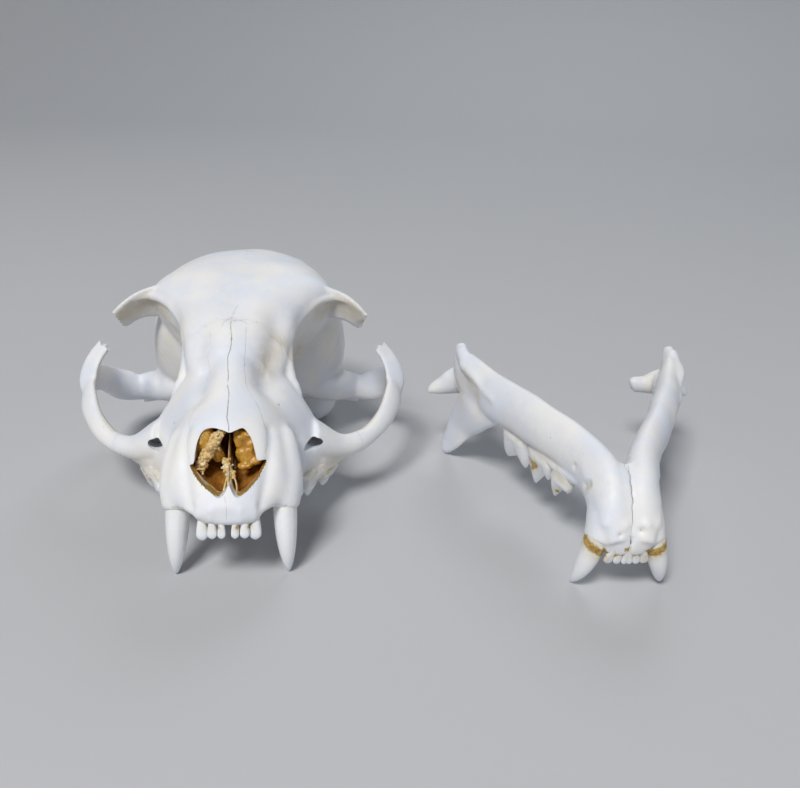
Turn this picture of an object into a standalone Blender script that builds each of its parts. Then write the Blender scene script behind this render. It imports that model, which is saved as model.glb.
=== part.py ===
"""A domestic cat's skull, life size, as two bones laid side by side on a table.

The cranium stands upright on its two upper canines and its two ear bullae. The lower jaw lies beside
it upside down, on its two canines and its two coronoid tips. Both face -Y, and the table is z = 0.

Each bone is shaped in its own frame, in millimetres: x toward the animal's left, y backward from the
front of the incisors, and z up from the palate or the tooth line. What both sides have is made at +x and
mirrored. An empty for each bone then lays it on the table.
"""

import math

import bmesh
import bpy
import numpy as np
from mathutils import Matrix, Vector

MM = 0.001

# Driving dimensions, in millimetres and degrees
CRANIUM_PLACE = (-27.7, -46.5, 13.2)  # front of the upper incisors, above the table
CRANIUM_TURNS = (-8.2, 0.0, 6.4)  # about x, as the long canines lift the snout, and about z
JAW_PLACE = (43.0, -43.7, 10.2)  # front of the lower incisors
JAW_TURNS = (-7.8, 180.0, 4.7)  # the tall coronoids lift the back of the upturned jaw
JOINT_GAP = 0.3  # between two bones that meet at a suture
CANINE_END = 0.16  # half thickness of a canine's blunt tip

NASION_Y = 28.6
UPPER_CANINE_TIP = (10.1, 7.0, -12.6)
LOWER_CANINE_TIP = (9.0, 3.3, 10.7)
CORONOID_TIP = (26.6, 54.6, 17.9)
BULLA_CENTRE = (13.4, 72.0, 4.3)
BULLA_RADII = (7.3, 11.0, 7.2)
CONDYLE_CENTRE = (23.8, 58.0, 1.6)
CONDYLE_RADII = (7.2, 2.2, 2.7)

FINE_VOXEL = 0.5
CRANIUM_TRIANGLES = 6300
JAW_TRIANGLES = 1250
BONE_COLOUR = (0.74, 0.76, 0.80)
JAW_COLOUR = (0.72, 0.74, 0.79)


# ---- shaping tools ---------------------------------------------------------------------------------


def smooth_rows(rows, steps):
    """Carry the rows of a table along a Catmull-Rom curve, with so many steps between two rows."""
    rows = np.array(rows, dtype=float)
    ends = np.vstack([2 * rows[0] - rows[1], rows, 2 * rows[-1] - rows[-2]])
    out = []
    for i in range(len(rows) - 1):
        a, b, c, d = ends[i:i + 4]
        for t in np.arange(steps) / steps:
            out.append(0.5 * (2 * b + (c - a) * t + (2 * a - 5 * b + 4 * c - d) * t * t
                              + (3 * b - a - 3 * c + d) * t ** 3))
    out.append(rows[-1])
    return np.array(out)


def mesh_from_rings(rings):
    """Join rings of points into one closed skin, each end closed by a fan to its middle."""
    shape = bmesh.new()
    loops = [[shape.verts.new(Vector(p)) for p in ring] for ring in rings]
    sides = len(loops[0])
    for low, high in zip(loops, loops[1:]):
        for k in range(sides):
            shape.faces.new((low[k], low[(k + 1) % sides], high[(k + 1) % sides], high[k]))
    for loop, ring in ((loops[0], rings[0]), (loops[-1], rings[-1])):
        middle = shape.verts.new(Vector(np.mean(ring, axis=0)))
        for k in range(sides):
            shape.faces.new((loop[k], loop[(k + 1) % sides], middle))
    bmesh.ops.recalc_face_normals(shape, faces=shape.faces)
    return shape


def vault(stations, sides=40, steps=3):
    """A form that runs along y through upright sections that are even in x.

    Each station gives y, half width, top, bottom, the height of the widest place, and how square the
    section is above and below it (1 is a roof's slope, 2 an ellipse, 4 nearly a box).
    """
    rings = []
    for y, half_width, top, bottom, widest, square_top, square_bottom in smooth_rows(stations, steps):
        ring = []
        for k in range(sides):
            turn = 2 * math.pi * k / sides
            square = square_top if math.sin(turn) >= 0 else square_bottom
            height = top - widest if math.sin(turn) >= 0 else widest - bottom
            across = math.copysign(abs(math.cos(turn)) ** (2 / square), math.cos(turn))
            up = math.copysign(abs(math.sin(turn)) ** (2 / square), math.sin(turn))
            ring.append((half_width * across, y, widest + height * up))
        rings.append(ring)
    return mesh_from_rings(rings)


def limb(rows, tall_way=(0, 0, 1), sides=16, steps=4):
    """An oval bar carried along a path. Each row gives x, y, z, half its height and half its width."""
    rows = smooth_rows(rows, steps)
    places = rows[:, :3]
    ways = np.gradient(places, axis=0)
    rings = []
    for place, way, (half_tall, half_wide) in zip(places, ways, rows[:, 3:5]):
        way = Vector(way).normalized()
        tall = Vector(tall_way)
        tall = (tall - way * tall.dot(way)).normalized()
        wide = way.cross(tall)
        ring = []
        for k in range(sides):
            turn = 2 * math.pi * k / sides
            ring.append(Vector(place) + tall * half_tall * math.sin(turn) + wide * half_wide * math.cos(turn))
        rings.append(ring)
    return mesh_from_rings(rings)


def ball(centre, radii, turns=(0, 0, 0), rings=16):
    """An ellipsoid, turned by so many degrees about x, y and z in that order."""
    shape = bmesh.new()
    bmesh.ops.create_uvsphere(shape, u_segments=2 * rings, v_segments=rings, radius=1.0)
    place = Matrix.Translation(centre)
    for axis, degrees in zip("ZYX", reversed(turns)):
        place = place @ Matrix.Rotation(math.radians(degrees), 4, axis)
    bmesh.ops.transform(shape, matrix=place @ Matrix.Diagonal((*radii, 1.0)), verts=shape.verts)
    return shape


def block(low, high):
    """A box from its lowest to its highest corner."""
    shape = bmesh.new()
    bmesh.ops.create_cube(shape, size=1.0)
    low, high = Vector(low), Vector(high)
    place = Matrix.Translation((low + high) / 2) @ Matrix.Diagonal((*(high - low), 1.0))
    bmesh.ops.transform(shape, matrix=place, verts=shape.verts)
    return shape


def mirrored(shape):
    """The other side's copy of a shape."""
    other = shape.copy()
    bmesh.ops.transform(other, matrix=Matrix.Diagonal((-1.0, 1.0, 1.0, 1.0)), verts=other.verts)
    bmesh.ops.reverse_faces(other, faces=other.faces)
    return other


def pair(shape):
    return [shape, mirrored(shape)]


def as_object(name, shapes):
    """One object of one or more closed shapes."""
    mesh = bpy.data.meshes.new(name)
    joined = bmesh.new()
    for shape in shapes:
        part = bpy.data.meshes.new("part")
        shape.to_mesh(part)
        joined.from_mesh(part)
        bpy.data.meshes.remove(part)
    joined.to_mesh(mesh)
    piece = bpy.data.objects.new(name, mesh)
    bpy.context.scene.collection.objects.link(piece)
    return piece


def settle(piece):
    """Turn an object's modifiers into its mesh."""
    graph = bpy.context.evaluated_depsgraph_get()
    graph.update()
    mesh = bpy.data.meshes.new_from_object(piece.evaluated_get(graph))
    piece.modifiers.clear()
    old = piece.data
    piece.data = mesh
    bpy.data.meshes.remove(old)


def fused(name, shapes, voxel=FINE_VOXEL, softening=6, triangles=None):
    """Melt overlapping shapes into one skin, soften where they meet, and thin it to so many triangles."""
    piece = as_object(name, shapes)
    melt = piece.modifiers.new("melt", "REMESH")
    melt.mode = "VOXEL"
    melt.voxel_size = voxel
    settle(piece)
    if softening:
        soften = piece.modifiers.new("soften", "SMOOTH")
        soften.factor = 0.5
        soften.iterations = softening
        settle(piece)
    if triangles:
        thin_to(piece, triangles)
    return piece


def thin_to(piece, triangles):
    """Reduce a mesh to about so many triangles, fewest where it is flattest."""
    now = sum(len(face.vertices) - 2 for face in piece.data.polygons)
    thin = piece.modifiers.new("thin", "DECIMATE")
    thin.ratio = min(1.0, triangles / now)
    thin.use_collapse_triangulate = True
    settle(piece)


def carve(piece, shapes, operation="DIFFERENCE"):
    """Take shapes out of a piece, or keep only what lies in them."""
    for shape in shapes:
        tool = as_object("tool", [shape])
        tool.hide_render = True
        tool.display_type = "WIRE"
        cut = piece.modifiers.new("cut", "BOOLEAN")
        cut.operation = operation
        cut.solver = "EXACT"
        cut.object = tool
        settle(piece)
        bpy.data.objects.remove(tool)


def sheet(line, along, reach):
    """A thin cut of JOINT_GAP that follows a bent line and runs along one axis from end to end.

    Along X the line is given in y and z, and along Z in x and y.
    """
    line = [Vector(p) for p in line]
    outline = []
    for side in (1, -1):
        edge = []
        for i, point in enumerate(line):
            before = (line[i] - line[max(i - 1, 0)])
            after = (line[min(i + 1, len(line) - 1)] - line[i])
            ways = [way.normalized() for way in (before, after) if way.length > 0]
            normals = [Vector((-way.y, way.x)) for way in ways]
            lean = sum(normals, Vector((0, 0))) / len(normals)
            edge.append(point + lean * (side * JOINT_GAP / 2 / lean.length_squared))
        outline += edge if side == 1 else edge[::-1]
    rings = []
    for depth in reach:
        if along == "X":
            rings.append([(depth, p.x, p.y) for p in outline])
        else:
            rings.append([(p.x, p.y, depth) for p in outline])
    shape = bmesh.new()
    low, high = [[shape.verts.new(p) for p in ring] for ring in rings]
    count = len(outline)
    for k in range(count):
        shape.faces.new((low[k], low[(k + 1) % count], high[(k + 1) % count], high[k]))
    half = len(line)
    for loop in (low, high):
        for k in range(half - 1):
            shape.faces.new((loop[k], loop[k + 1], loop[count - 2 - k], loop[count - 1 - k]))
    bmesh.ops.recalc_face_normals(shape, faces=shape.faces)
    return shape


def mesh_of(piece):
    shape = bmesh.new()
    shape.from_mesh(piece.data)
    return shape


def drop_flaps(shape):
    """Delete the slivers that thinning can leave hanging by one edge from a closed skin."""
    flaps = [face for face in shape.faces if any(edge.is_boundary for edge in face.edges)]
    bmesh.ops.delete(shape, geom=flaps, context="FACES")


def loose_parts(piece, count):
    """The largest separate bodies of a piece, each as its own object; chips left by a cut are dropped."""
    shape = mesh_of(piece)
    drop_flaps(shape)
    shape.faces.index_update()
    shape.faces.ensure_lookup_table()
    left = set(shape.faces)
    groups = []
    while left:
        start = left.pop()
        group, edge = [start], [start]
        while edge:
            near = {n for face in edge for e in face.edges for n in e.link_faces} & left
            left -= near
            group += near
            edge = list(near)
        groups.append(group)
    groups.sort(key=lambda faces: -sum(face.calc_area() for face in faces))
    parts = []
    for k, group in enumerate(groups[:count]):
        keep = {face.index for face in group}
        part = shape.copy()
        part.faces.ensure_lookup_table()
        rest = [face for face in part.faces if face.index not in keep]
        bmesh.ops.delete(part, geom=rest, context="FACES")
        parts.append(as_object(f"part_{k}", [part]))
    bpy.data.objects.remove(piece)
    return parts


def middle_of(piece):
    """The middle of a piece's box."""
    return sum((Vector(corner) for corner in piece.bound_box), Vector()) / 8


# ---- cranium ---------------------------------------------------------------------------------------


def braincase():
    """The round brain capsule, widest low and well behind the eyes."""
    return vault([
        (44.0, 10.0, 34.5, 12.0, 25.0, 2.0, 2.0),
        (48.5, 16.4, 37.5, 6.5, 25.5, 2.5, 1.9),
        (54.0, 19.9, 39.6, 5.0, 21.0, 3.0, 2.1),
        (60.0, 21.6, 40.5, 4.0, 17.5, 2.7, 2.3),
        (66.0, 22.3, 40.1, 3.6, 16.0, 2.45, 2.4),
        (73.0, 21.7, 37.6, 3.2, 15.0, 2.3, 2.4),
        (79.0, 20.0, 34.0, 3.0, 14.5, 2.2, 2.4),
        (84.5, 17.3, 29.6, 3.0, 13.5, 2.1, 2.4),
        (88.3, 13.4, 25.4, 4.0, 12.5, 2.1, 2.3),
        (89.8, 8.0, 20.0, 7.0, 12.5, 2.0, 2.0),
    ])


def forehead():
    """The roof between the eyes, broad above and narrow below."""
    return vault([
        (23.0, 7.6, 25.2, 4.5, 18.0, 2.3, 1.5),
        (28.0, 9.9, 29.3, 4.0, 22.0, 2.4, 1.35),
        (33.0, 11.0, 32.3, 4.5, 26.0, 2.5, 1.25),
        (37.0, 12.0, 34.5, 5.0, 28.6, 2.6, 1.2),
        (41.0, 14.6, 36.2, 6.0, 31.0, 2.6, 1.2),
        (45.0, 18.2, 37.0, 7.0, 31.9, 2.3, 1.2),
        (49.0, 19.2, 37.6, 8.0, 30.6, 2.4, 1.3),
        (53.0, 17.0, 37.2, 10.0, 27.0, 2.0, 1.6),
        (56.0, 13.0, 33.0, 12.0, 24.0, 2.0, 2.0),
    ])


def muzzle():
    """Premaxillae, maxillae and nasals, from the incisor arc back to the front of the eye sockets."""
    return vault([
        (0.3, 3.6, 3.2, 0.2, 1.3, 2.4, 2.4),
        (1.6, 5.9, 5.0, -0.3, 1.4, 2.3, 3.0),
        (3.6, 8.4, 8.2, -0.6, 1.5, 2.1, 3.0),
        (6.0, 11.2, 12.6, -0.8, 1.6, 1.9, 3.0),
        (9.0, 12.5, 15.9, -0.8, 1.8, 1.75, 3.0),
        (13.0, 12.5, 18.6, -0.3, 2.5, 1.65, 3.0),
        (18.0, 13.8, 21.9, 0.0, 3.0, 1.55, 3.0),
        (23.0, 16.2, 25.3, 0.0, 3.5, 1.42, 3.0),
        (26.6, 17.6, 27.4, 0.2, 4.2, 1.36, 3.0),
        (28.8, 14.0, 26.5, 1.0, 5.5, 1.5, 3.0),
    ])


def palate():
    """The hard palate and tooth-bearing edge, which runs on under the eye sockets."""
    return vault([
        (18.0, 12.5, 4.0, 0.0, 2.0, 2.6, 3.0),
        (24.0, 17.2, 4.6, 0.0, 2.4, 2.6, 3.0),
        (29.0, 20.0, 5.0, 0.2, 2.6, 2.6, 3.0),
        (32.5, 20.4, 5.2, 0.8, 3.0, 2.4, 2.6),
        (35.5, 15.5, 6.0, 0.8, 3.2, 2.2, 2.4),
        (38.5, 11.0, 7.0, 1.0, 4.0, 2.0, 2.2),
        (41.0, 8.0, 9.0, 3.5, 6.0, 2.0, 2.0),
    ], sides=32)


def arch():
    """The cheek arch, from the maxilla out round the eye and back to the brain capsule's side.

    Its upright plate leans in at the top.
    """
    return limb([
        (13.5, 25.0, 7.0, 4.6, 4.0),
        (19.6, 28.0, 4.9, 3.0, 2.8),
        (25.0, 31.2, 5.4, 2.5, 1.9),
        (29.6, 36.2, 8.2, 2.8, 1.4),
        (32.5, 42.5, 11.9, 3.6, 1.3),
        (33.6, 48.5, 13.0, 3.6, 1.2),
        (32.9, 54.5, 12.0, 3.3, 1.2),
        (30.9, 59.5, 10.0, 3.3, 1.5),
        (26.8, 63.8, 8.2, 3.0, 2.6),
        (21.0, 67.5, 8.5, 3.6, 4.4),
    ], tall_way=(-0.38, 0.1, 1))


def cheek_spur():
    """The jugal's upright prong behind the eye, which stops short of the forehead's prong."""
    return limb([
        (33.2, 45.0, 12.5, 3.6, 1.2),
        (32.7, 46.2, 16.5, 2.8, 1.15),
        (31.3, 47.2, 19.3, 2.0, 1.1),
        (29.9, 47.6, 21.5, 1.3, 0.9),
    ], tall_way=(0.35, 1, 0), sides=12)


def brow_spur():
    """The forehead's prong above and behind the eye."""
    return limb([
        (12.0, 47.8, 31.4, 5.0, 4.0),
        (17.5, 47.4, 30.0, 4.6, 3.8),
        (21.6, 46.2, 28.9, 3.8, 3.0),
        (24.4, 45.0, 27.9, 2.5, 2.1),
        (25.9, 44.4, 27.4, 1.5, 1.4),
    ], tall_way=(0, 1, 0), sides=16)


def nape_crest():
    """The low ridge that frames the back of the skull, from behind each ear up over the top."""
    side = [(19.4, 77.0, 6.0), (18.8, 80.4, 11.0), (16.2, 84.0, 16.3), (11.8, 87.0, 21.0), (6.0, 88.8, 23.8)]
    path = side + [(0.0, 89.6, 24.8)] + [(-x, y, z) for x, y, z in reversed(side)]
    return limb([(x, y, z, 1.5, 1.2) for x, y, z in path], tall_way=(0, 1, 0), sides=10, steps=3)


def ear_region():
    """The bulla under each ear, the bony rim of the ear hole, and the hinge shelf before it."""
    bulla = ball(BULLA_CENTRE, BULLA_RADII, turns=(0, 0, 12))
    rim = ball((19.4, 68.5, 7.6), (3.4, 4.6, 4.0))
    mastoid = ball((19.0, 77.5, 6.0), (3.2, 3.4, 4.6))
    shelf = limb([
        (17.0, 64.5, 6.2, 2.2, 4.0),
        (23.0, 63.4, 5.6, 1.9, 3.4),
        (29.5, 61.4, 7.2, 2.2, 2.2),
    ], sides=12)
    lip = limb([(18.5, 66.4, 4.4, 2.2, 1.2), (27.0, 65.0, 4.0, 2.2, 1.2)], sides=10)
    return [bulla, rim, mastoid, shelf, lip]


def nape_knuckles():
    """The two knuckles beside the spinal hole, and the prong on each side of them."""
    knuckle = ball((7.6, 89.0, 5.4), (3.4, 3.2, 4.4), turns=(0, 20, 20))
    prong = limb([(15.8, 84.0, 8.0, 2.6, 1.8), (15.4, 83.0, 2.6, 1.6, 1.1)], tall_way=(1, 0, 0), sides=10)
    return [knuckle, prong]


def throat_wings():
    """The thin walls behind the palate on each side of the inner nostril, ending in a small hook."""
    return limb([
        (7.2, 36.0, 3.4, 3.4, 1.4),
        (6.7, 44.0, 4.6, 4.6, 1.1),
        (6.4, 50.5, 4.0, 4.2, 1.1),
        (6.4, 56.5, 4.6, 2.4, 1.2),
    ], sides=14)


def skull_floor():
    """The flat bar under the brain capsule."""
    return vault([
        (46.0, 5.0, 14.0, 6.2, 10.0, 2.2, 3.0),
        (58.0, 7.0, 12.0, 4.4, 8.0, 2.2, 3.0),
        (72.0, 8.5, 10.0, 3.2, 6.5, 2.2, 3.0),
        (86.0, 8.0, 9.0, 2.6, 6.0, 2.2, 3.0),
    ], sides=24)


def canine(gum, tip, bow, gum_radii):
    """A long curved tooth: gum and tip centres, how far its middle bows forward, and its size at the gum."""
    gum, tip = Vector(gum), Vector(tip)
    root = gum + (gum - tip) * 0.35
    middle = (gum + tip) / 2 + Vector((-0.1, -bow, 0))
    deep, wide = gum_radii
    rows = [
        (*root, deep * 0.9, wide * 0.9),
        (*gum, deep, wide),
        (*middle, deep * 0.70, wide * 0.70),
        (*((middle + tip * 2) / 3), deep * 0.42, wide * 0.42),
        (*tip, CANINE_END, CANINE_END),
    ]
    return limb(rows, tall_way=(0, 1, 0), sides=12, steps=2)


def peg(gum, tip, half_deep, half_wide):
    """A small front tooth, wider across than it is deep."""
    gum, tip = Vector(gum), Vector(tip)
    root = gum + (gum - tip) * 0.5
    rows = [(*root, half_deep, half_wide * 0.8), (*gum, half_deep, half_wide), (*tip, half_deep * 0.4, half_wide * 0.8)]
    return limb(rows, tall_way=(0, 1, 0), sides=8, steps=1)


def blade(front, back, gum, width, cusps, way):
    """A cheek tooth: a wedge from front to back whose edge rises to a cusp at each (share of length, height).

    way is -1 for an upper tooth, whose edge points down, and +1 for a lower one.
    """
    shares = np.array([0.0] + [share for share, _ in cusps] + [1.0])
    heights = np.array([0.6] + [height for _, height in cusps] + [0.6])
    samples = np.unique(np.concatenate([np.linspace(0.0, 1.0, 7), shares]))
    rows = []
    for share in samples:
        x = front[0] + (back[0] - front[0]) * share
        y = front[1] + (back[1] - front[1]) * share
        height = float(np.interp(share, shares, heights))
        low = gum - way * 1.6
        high = gum + way * height
        swell = width * (0.55 + 0.45 * math.sin(math.pi * min(max(share, 0.0), 1.0)))
        rows.append((x, y, (low + high) / 2, abs(high - low) / 2, swell / 2))
    return limb(rows, sides=10, steps=1)


def upper_teeth():
    """One side's upper teeth."""
    teeth = [canine((9.4, 7.8, 0.2), UPPER_CANINE_TIP, 0.9, (2.8, 2.35))]
    teeth.append(peg((4.6, 2.2, 0.6), (4.7, 1.7, -3.4), 1.1, 0.95))
    teeth.append(peg((2.5, 1.2, 0.8), (2.5, 0.7, -2.6), 0.9, 0.72))
    teeth.append(peg((0.85, 0.9, 0.9), (0.85, 0.4, -2.2), 0.85, 0.66))
    teeth.append(peg((12.0, 14.0, 0.4), (12.1, 14.0, -1.4), 0.9, 0.8))
    teeth.append(blade((12.8, 16.4), (14.8, 22.0), 0.2, 2.6, [(0.42, 4.4), (0.78, 2.0)], -1))
    teeth.append(blade((15.2, 22.3), (19.0, 32.2), 0.4, 3.2, [(0.12, 2.0), (0.42, 5.8), (0.66, 3.2), (0.86, 3.8)], -1))
    teeth.append(peg((18.0, 33.4, 1.0), (17.8, 33.6, -0.8), 1.0, 1.6))
    return teeth


def nose_hollow():
    """The air space of the nose: heart-shaped at the front, running back to the throat."""
    return vault([
        (-4.0, 5.6, 14.2, -0.6, 10.0, 2.4, 1.35),
        (3.0, 6.3, 13.8, 1.4, 9.3, 2.4, 1.35),
        (7.0, 6.5, 13.7, 2.6, 9.2, 2.4, 1.5),
        (12.0, 6.6, 16.6, 3.0, 9.6, 2.2, 2.2),
        (19.0, 7.2, 20.6, 3.0, 11.0, 1.9, 2.6),
        (25.0, 5.0, 19.0, 3.4, 11.0, 2.0, 2.4),
    ], sides=24, steps=2)


def throat_hollow():
    """The way out of the nose at the back of the palate, between the throat wings."""
    return vault([
        (26.0, 4.4, 9.0, 2.4, 5.6, 2.4, 2.6),
        (38.0, 5.0, 8.6, 2.0, 5.0, 2.4, 2.6),
        (44.0, 5.3, 8.4, -4.0, 4.0, 2.4, 4.0),
        (58.0, 5.2, 5.2, -4.0, 3.0, 2.4, 4.0),
    ], sides=20, steps=2)


def eye_hollow():
    """The socket's bowl, between the snout, the forehead's side and the cheek arch."""
    return ball((21.4, 38.6, 18.6), (10.6, 11.4, 12.4))


def under_eye_canal():
    """The hole for the nerve below the socket's front edge."""
    return limb([(14.6, 19.5, 6.8, 1.5, 1.6), (15.2, 24.0, 7.9, 1.4, 1.9), (16.4, 33.0, 9.8, 2.0, 2.0)], sides=10)


def spinal_hole():
    """The hole in the back of the skull, and the room for the brain just inside it."""
    return vault([
        (70.0, 4.0, 14.0, 7.0, 10.0, 2.0, 2.0),
        (80.0, 6.2, 16.0, 5.6, 10.0, 2.0, 2.2),
        (86.0, 6.2, 14.8, 4.4, 9.6, 2.0, 2.4),
        (96.0, 6.6, 15.2, 3.0, 9.4, 2.0, 2.4),
    ], sides=20, steps=2)


def ear_hole():
    return ball((21.6, 69.2, 6.4), (3.4, 2.2, 2.0))


def face_seams():
    """The sheet of sutures that parts the face from the brain capsule: across the forehead, back along
    the wall of the eye socket, and down through the throat wings."""
    return sheet([(NASION_Y + 1.0, 60), (NASION_Y + 1.0, 12.4), (46.0, 12.4), (46.0, -20)], "X", (-21.0, 21.0))


def cheek_seams():
    """The seams at the two ends of the right cheek bone."""
    front = sheet([(20.8, 34.6), (27.4, 24.8)], "Z", (-12.0, 24.0))
    back = sheet([(27.5, 53.6), (40.0, 57.6)], "Z", (-12.0, 24.0))
    return [front, back]


def make_cranium():
    """The cranium is fused whole, hollowed, and then parted by thin cuts where its sutures run."""
    core = fused("core", [braincase(), forehead(), muzzle(), palate()], softening=6)
    carve(core, pair(eye_hollow()))
    body = bmesh.new()
    body.from_mesh(core.data)
    bpy.data.objects.remove(core)
    shapes = [body, nape_crest(), skull_floor()]
    for part in [arch(), cheek_spur(), brow_spur(), throat_wings(), *ear_region(), *nape_knuckles(), *upper_teeth()]:
        shapes += pair(part)
    whole = fused("whole", shapes, softening=3)
    carve(whole, [nose_hollow(), throat_hollow(), spinal_hole()])
    carve(whole, pair(under_eye_canal()) + pair(ear_hole()))
    carve(whole, [face_seams()])
    for seam in cheek_seams():
        carve(whole, pair(seam))
    thin_to(whole, CRANIUM_TRIANGLES)
    parts = loose_parts(whole, 4)
    parts.sort(key=lambda part: abs(middle_of(part).x))
    face, brain = sorted(parts[:2], key=lambda part: middle_of(part).y)
    right_cheek, left_cheek = sorted(parts[2:], key=lambda part: middle_of(part).x)
    stand = stand_at("cranium_stand", CRANIUM_PLACE, CRANIUM_TURNS)
    finish(face, "facial_skeleton", stand, BONE_COLOUR)
    finish(brain, "neurocranium", stand, BONE_COLOUR)
    finish(left_cheek, "jugal_left", stand, BONE_COLOUR)
    finish(right_cheek, "jugal_right", stand, BONE_COLOUR)


# ---- lower jaw -------------------------------------------------------------------------------------


def jaw_body():
    """The tooth-bearing bar of the right half, from the chin back to the angle; its lower edge leans in."""
    return limb([
        (2.6, 0.2, -0.6, 1.6, 2.2),
        (3.0, 2.6, -2.0, 3.2, 3.0),
        (3.8, 6.0, -4.3, 4.6, 3.6),
        (4.5, 10.0, -6.6, 5.2, 3.3),
        (5.7, 14.5, -7.6, 5.1, 3.1),
        (8.3, 20.5, -7.3, 5.6, 3.0),
        (11.4, 26.5, -7.0, 5.7, 2.9),
        (14.8, 33.5, -6.5, 5.6, 3.0),
        (18.1, 40.0, -5.6, 5.4, 2.9),
        (20.4, 46.0, -4.8, 5.5, 2.8),
        (22.6, 51.0, -4.9, 5.0, 2.4),
        (24.0, 55.0, -5.4, 3.9, 1.6),
        (24.2, 57.6, -8.0, 1.7, 1.2),
        (24.0, 58.8, -9.4, 0.9, 0.8),
    ], tall_way=(0.15, 0, 1), sides=18)


def chin():
    """The seam face's thick edge in the middle."""
    return limb([
        (1.3, 1.4, -1.4, 1.8, 2.4),
        (1.5, 5.5, -5.0, 3.2, 2.8),
        (1.6, 9.5, -8.2, 3.2, 2.8),
        (1.6, 12.8, -9.7, 1.6, 2.4),
    ], sides=14)


def coronoid():
    """The tall thin blade behind the teeth, to which the temple muscle pulls."""
    return limb([
        (19.0, 46.0, -4.0, 6.6, 1.6),
        (21.6, 48.6, 2.0, 5.4, 1.3),
        (23.8, 50.4, 7.0, 4.2, 1.1),
        (25.4, 52.3, 12.0, 3.2, 0.95),
        (26.4, 53.9, 16.0, 2.3, 0.85),
        (*CORONOID_TIP, 1.5, 0.6),
    ], tall_way=(0.45, 1, 0), sides=14)


def jaw_knuckle():
    """The roller that turns in the hinge shelf under the arch, and its neck."""
    roller = ball(CONDYLE_CENTRE, CONDYLE_RADII, turns=(0, -8, 0))
    neck = limb([(21.4, 51.0, -1.0, 3.4, 1.8), (23.2, 57.0, -0.4, 3.2, 2.6)], sides=12)
    return [roller, neck]


def cheek_muscle_edge():
    """The raised lower and front edge of the hollow on the outer side of the jaw's back."""
    return limb([
        (19.4, 42.5, -8.2, 1.3, 1.2),
        (24.0, 49.0, -8.0, 1.5, 1.3),
        (26.2, 53.0, -6.6, 1.5, 1.0),
        (25.0, 56.2, -7.2, 1.2, 1.0),
    ], sides=10)


def lower_teeth():
    """One side's lower teeth."""
    teeth = [canine((5.6, 3.4, 0.0), LOWER_CANINE_TIP, -0.2, (2.5, 2.1))]
    teeth.append(peg((3.1, 0.9, 0.6), (3.9, 0.9, 3.5), 0.8, 0.62))
    teeth.append(peg((1.9, 0.7, 0.6), (2.4, 0.6, 3.4), 0.75, 0.52))
    teeth.append(peg((0.75, 0.6, 0.6), (0.85, 0.4, 3.2), 0.7, 0.42))
    teeth.append(blade((8.0, 16.6), (9.8, 22.0), -2.0, 2.5, [(0.45, 5.6), (0.82, 2.6)], 1))
    teeth.append(blade((10.0, 22.4), (12.2, 29.4), -1.4, 2.7, [(0.14, 2.4), (0.48, 6.2), (0.80, 3.4)], 1))
    teeth.append(blade((12.2, 29.6), (15.7, 37.0), -1.0, 3.0, [(0.25, 6.4), (0.50, 4.2), (0.78, 7.3)], 1))
    return teeth


def cheek_muscle_hollow():
    return ball((29.0, 49.6, 0.0), (6.2, 7.0, 6.6), turns=(0, 0, -28))


def chin_face():
    """What lies past the middle, where the two halves of the jaw meet."""
    return block((-30, -20, -30), (JOINT_GAP / 2, 40, 30))


def make_jaw():
    """One half of the lower jaw is made and mirrored, and both are turned teeth down."""
    shapes = [jaw_body(), chin(), coronoid(), cheek_muscle_edge(), *jaw_knuckle()]
    bone = fused("jaw", shapes, softening=8)
    carve(bone, [cheek_muscle_hollow()])
    body = bmesh.new()
    body.from_mesh(bone.data)
    bpy.data.objects.remove(bone)
    half = fused("half", [body, *lower_teeth()], softening=3, triangles=JAW_TRIANGLES)
    carve(half, [chin_face()])
    other = as_object("other", [mirrored(mesh_of(half))])
    stand = stand_at("jaw_stand", JAW_PLACE, JAW_TURNS)
    finish(half, "mandible_left", stand, JAW_COLOUR)
    finish(other, "mandible_right", stand, JAW_COLOUR)


# ---- placing ---------------------------------------------------------------------------------------


def stand_at(name, place, turns):
    """An empty that lays one bone on the table."""
    stand = bpy.data.objects.new(name, None)
    stand.location = Vector(place) * MM
    stand.rotation_euler = [math.radians(turn) for turn in turns]
    bpy.context.scene.collection.objects.link(stand)
    return stand


def finish(piece, name, stand, colour):
    """Put a piece on its stand, flat where it touches the table, with its own name and material."""
    piece.name = name
    piece.data.transform(Matrix.Scale(MM, 4))
    piece.parent = stand
    carve(piece, [block((-0.2, -0.2, -0.02), (0.2, 0.2, 0.0))])
    piece.data.name = name
    piece.data.materials.clear()
    material = bpy.data.materials.new(name)
    material.use_nodes = True
    surface = material.node_tree.nodes["Principled BSDF"]
    surface.inputs["Base Color"].default_value = (*colour, 1.0)
    surface.inputs["Roughness"].default_value = 0.55
    surface.inputs["Metallic"].default_value = 0.0
    piece.data.materials.append(material)
    piece.data.set_sharp_from_angle(angle=math.radians(50))


for old in list(bpy.data.objects):
    bpy.data.objects.remove(old)
make_cranium()
make_jaw()
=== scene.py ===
"""A domestic cat's skull, life size: the cranium upright, and the lower jaw upside down beside it.

A bone is shaped in its own frame, in millimetres: x toward the animal's left, y backward from the front
teeth, z up from the palate or the tooth line. Closed skins computed on grids are melted into one, relief is
added as bumps and grooves along paths, and the bone is then laid on the table, in metres.
"""
import math

import bpy
import numpy as np
from mathutils import Matrix, Vector


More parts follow.
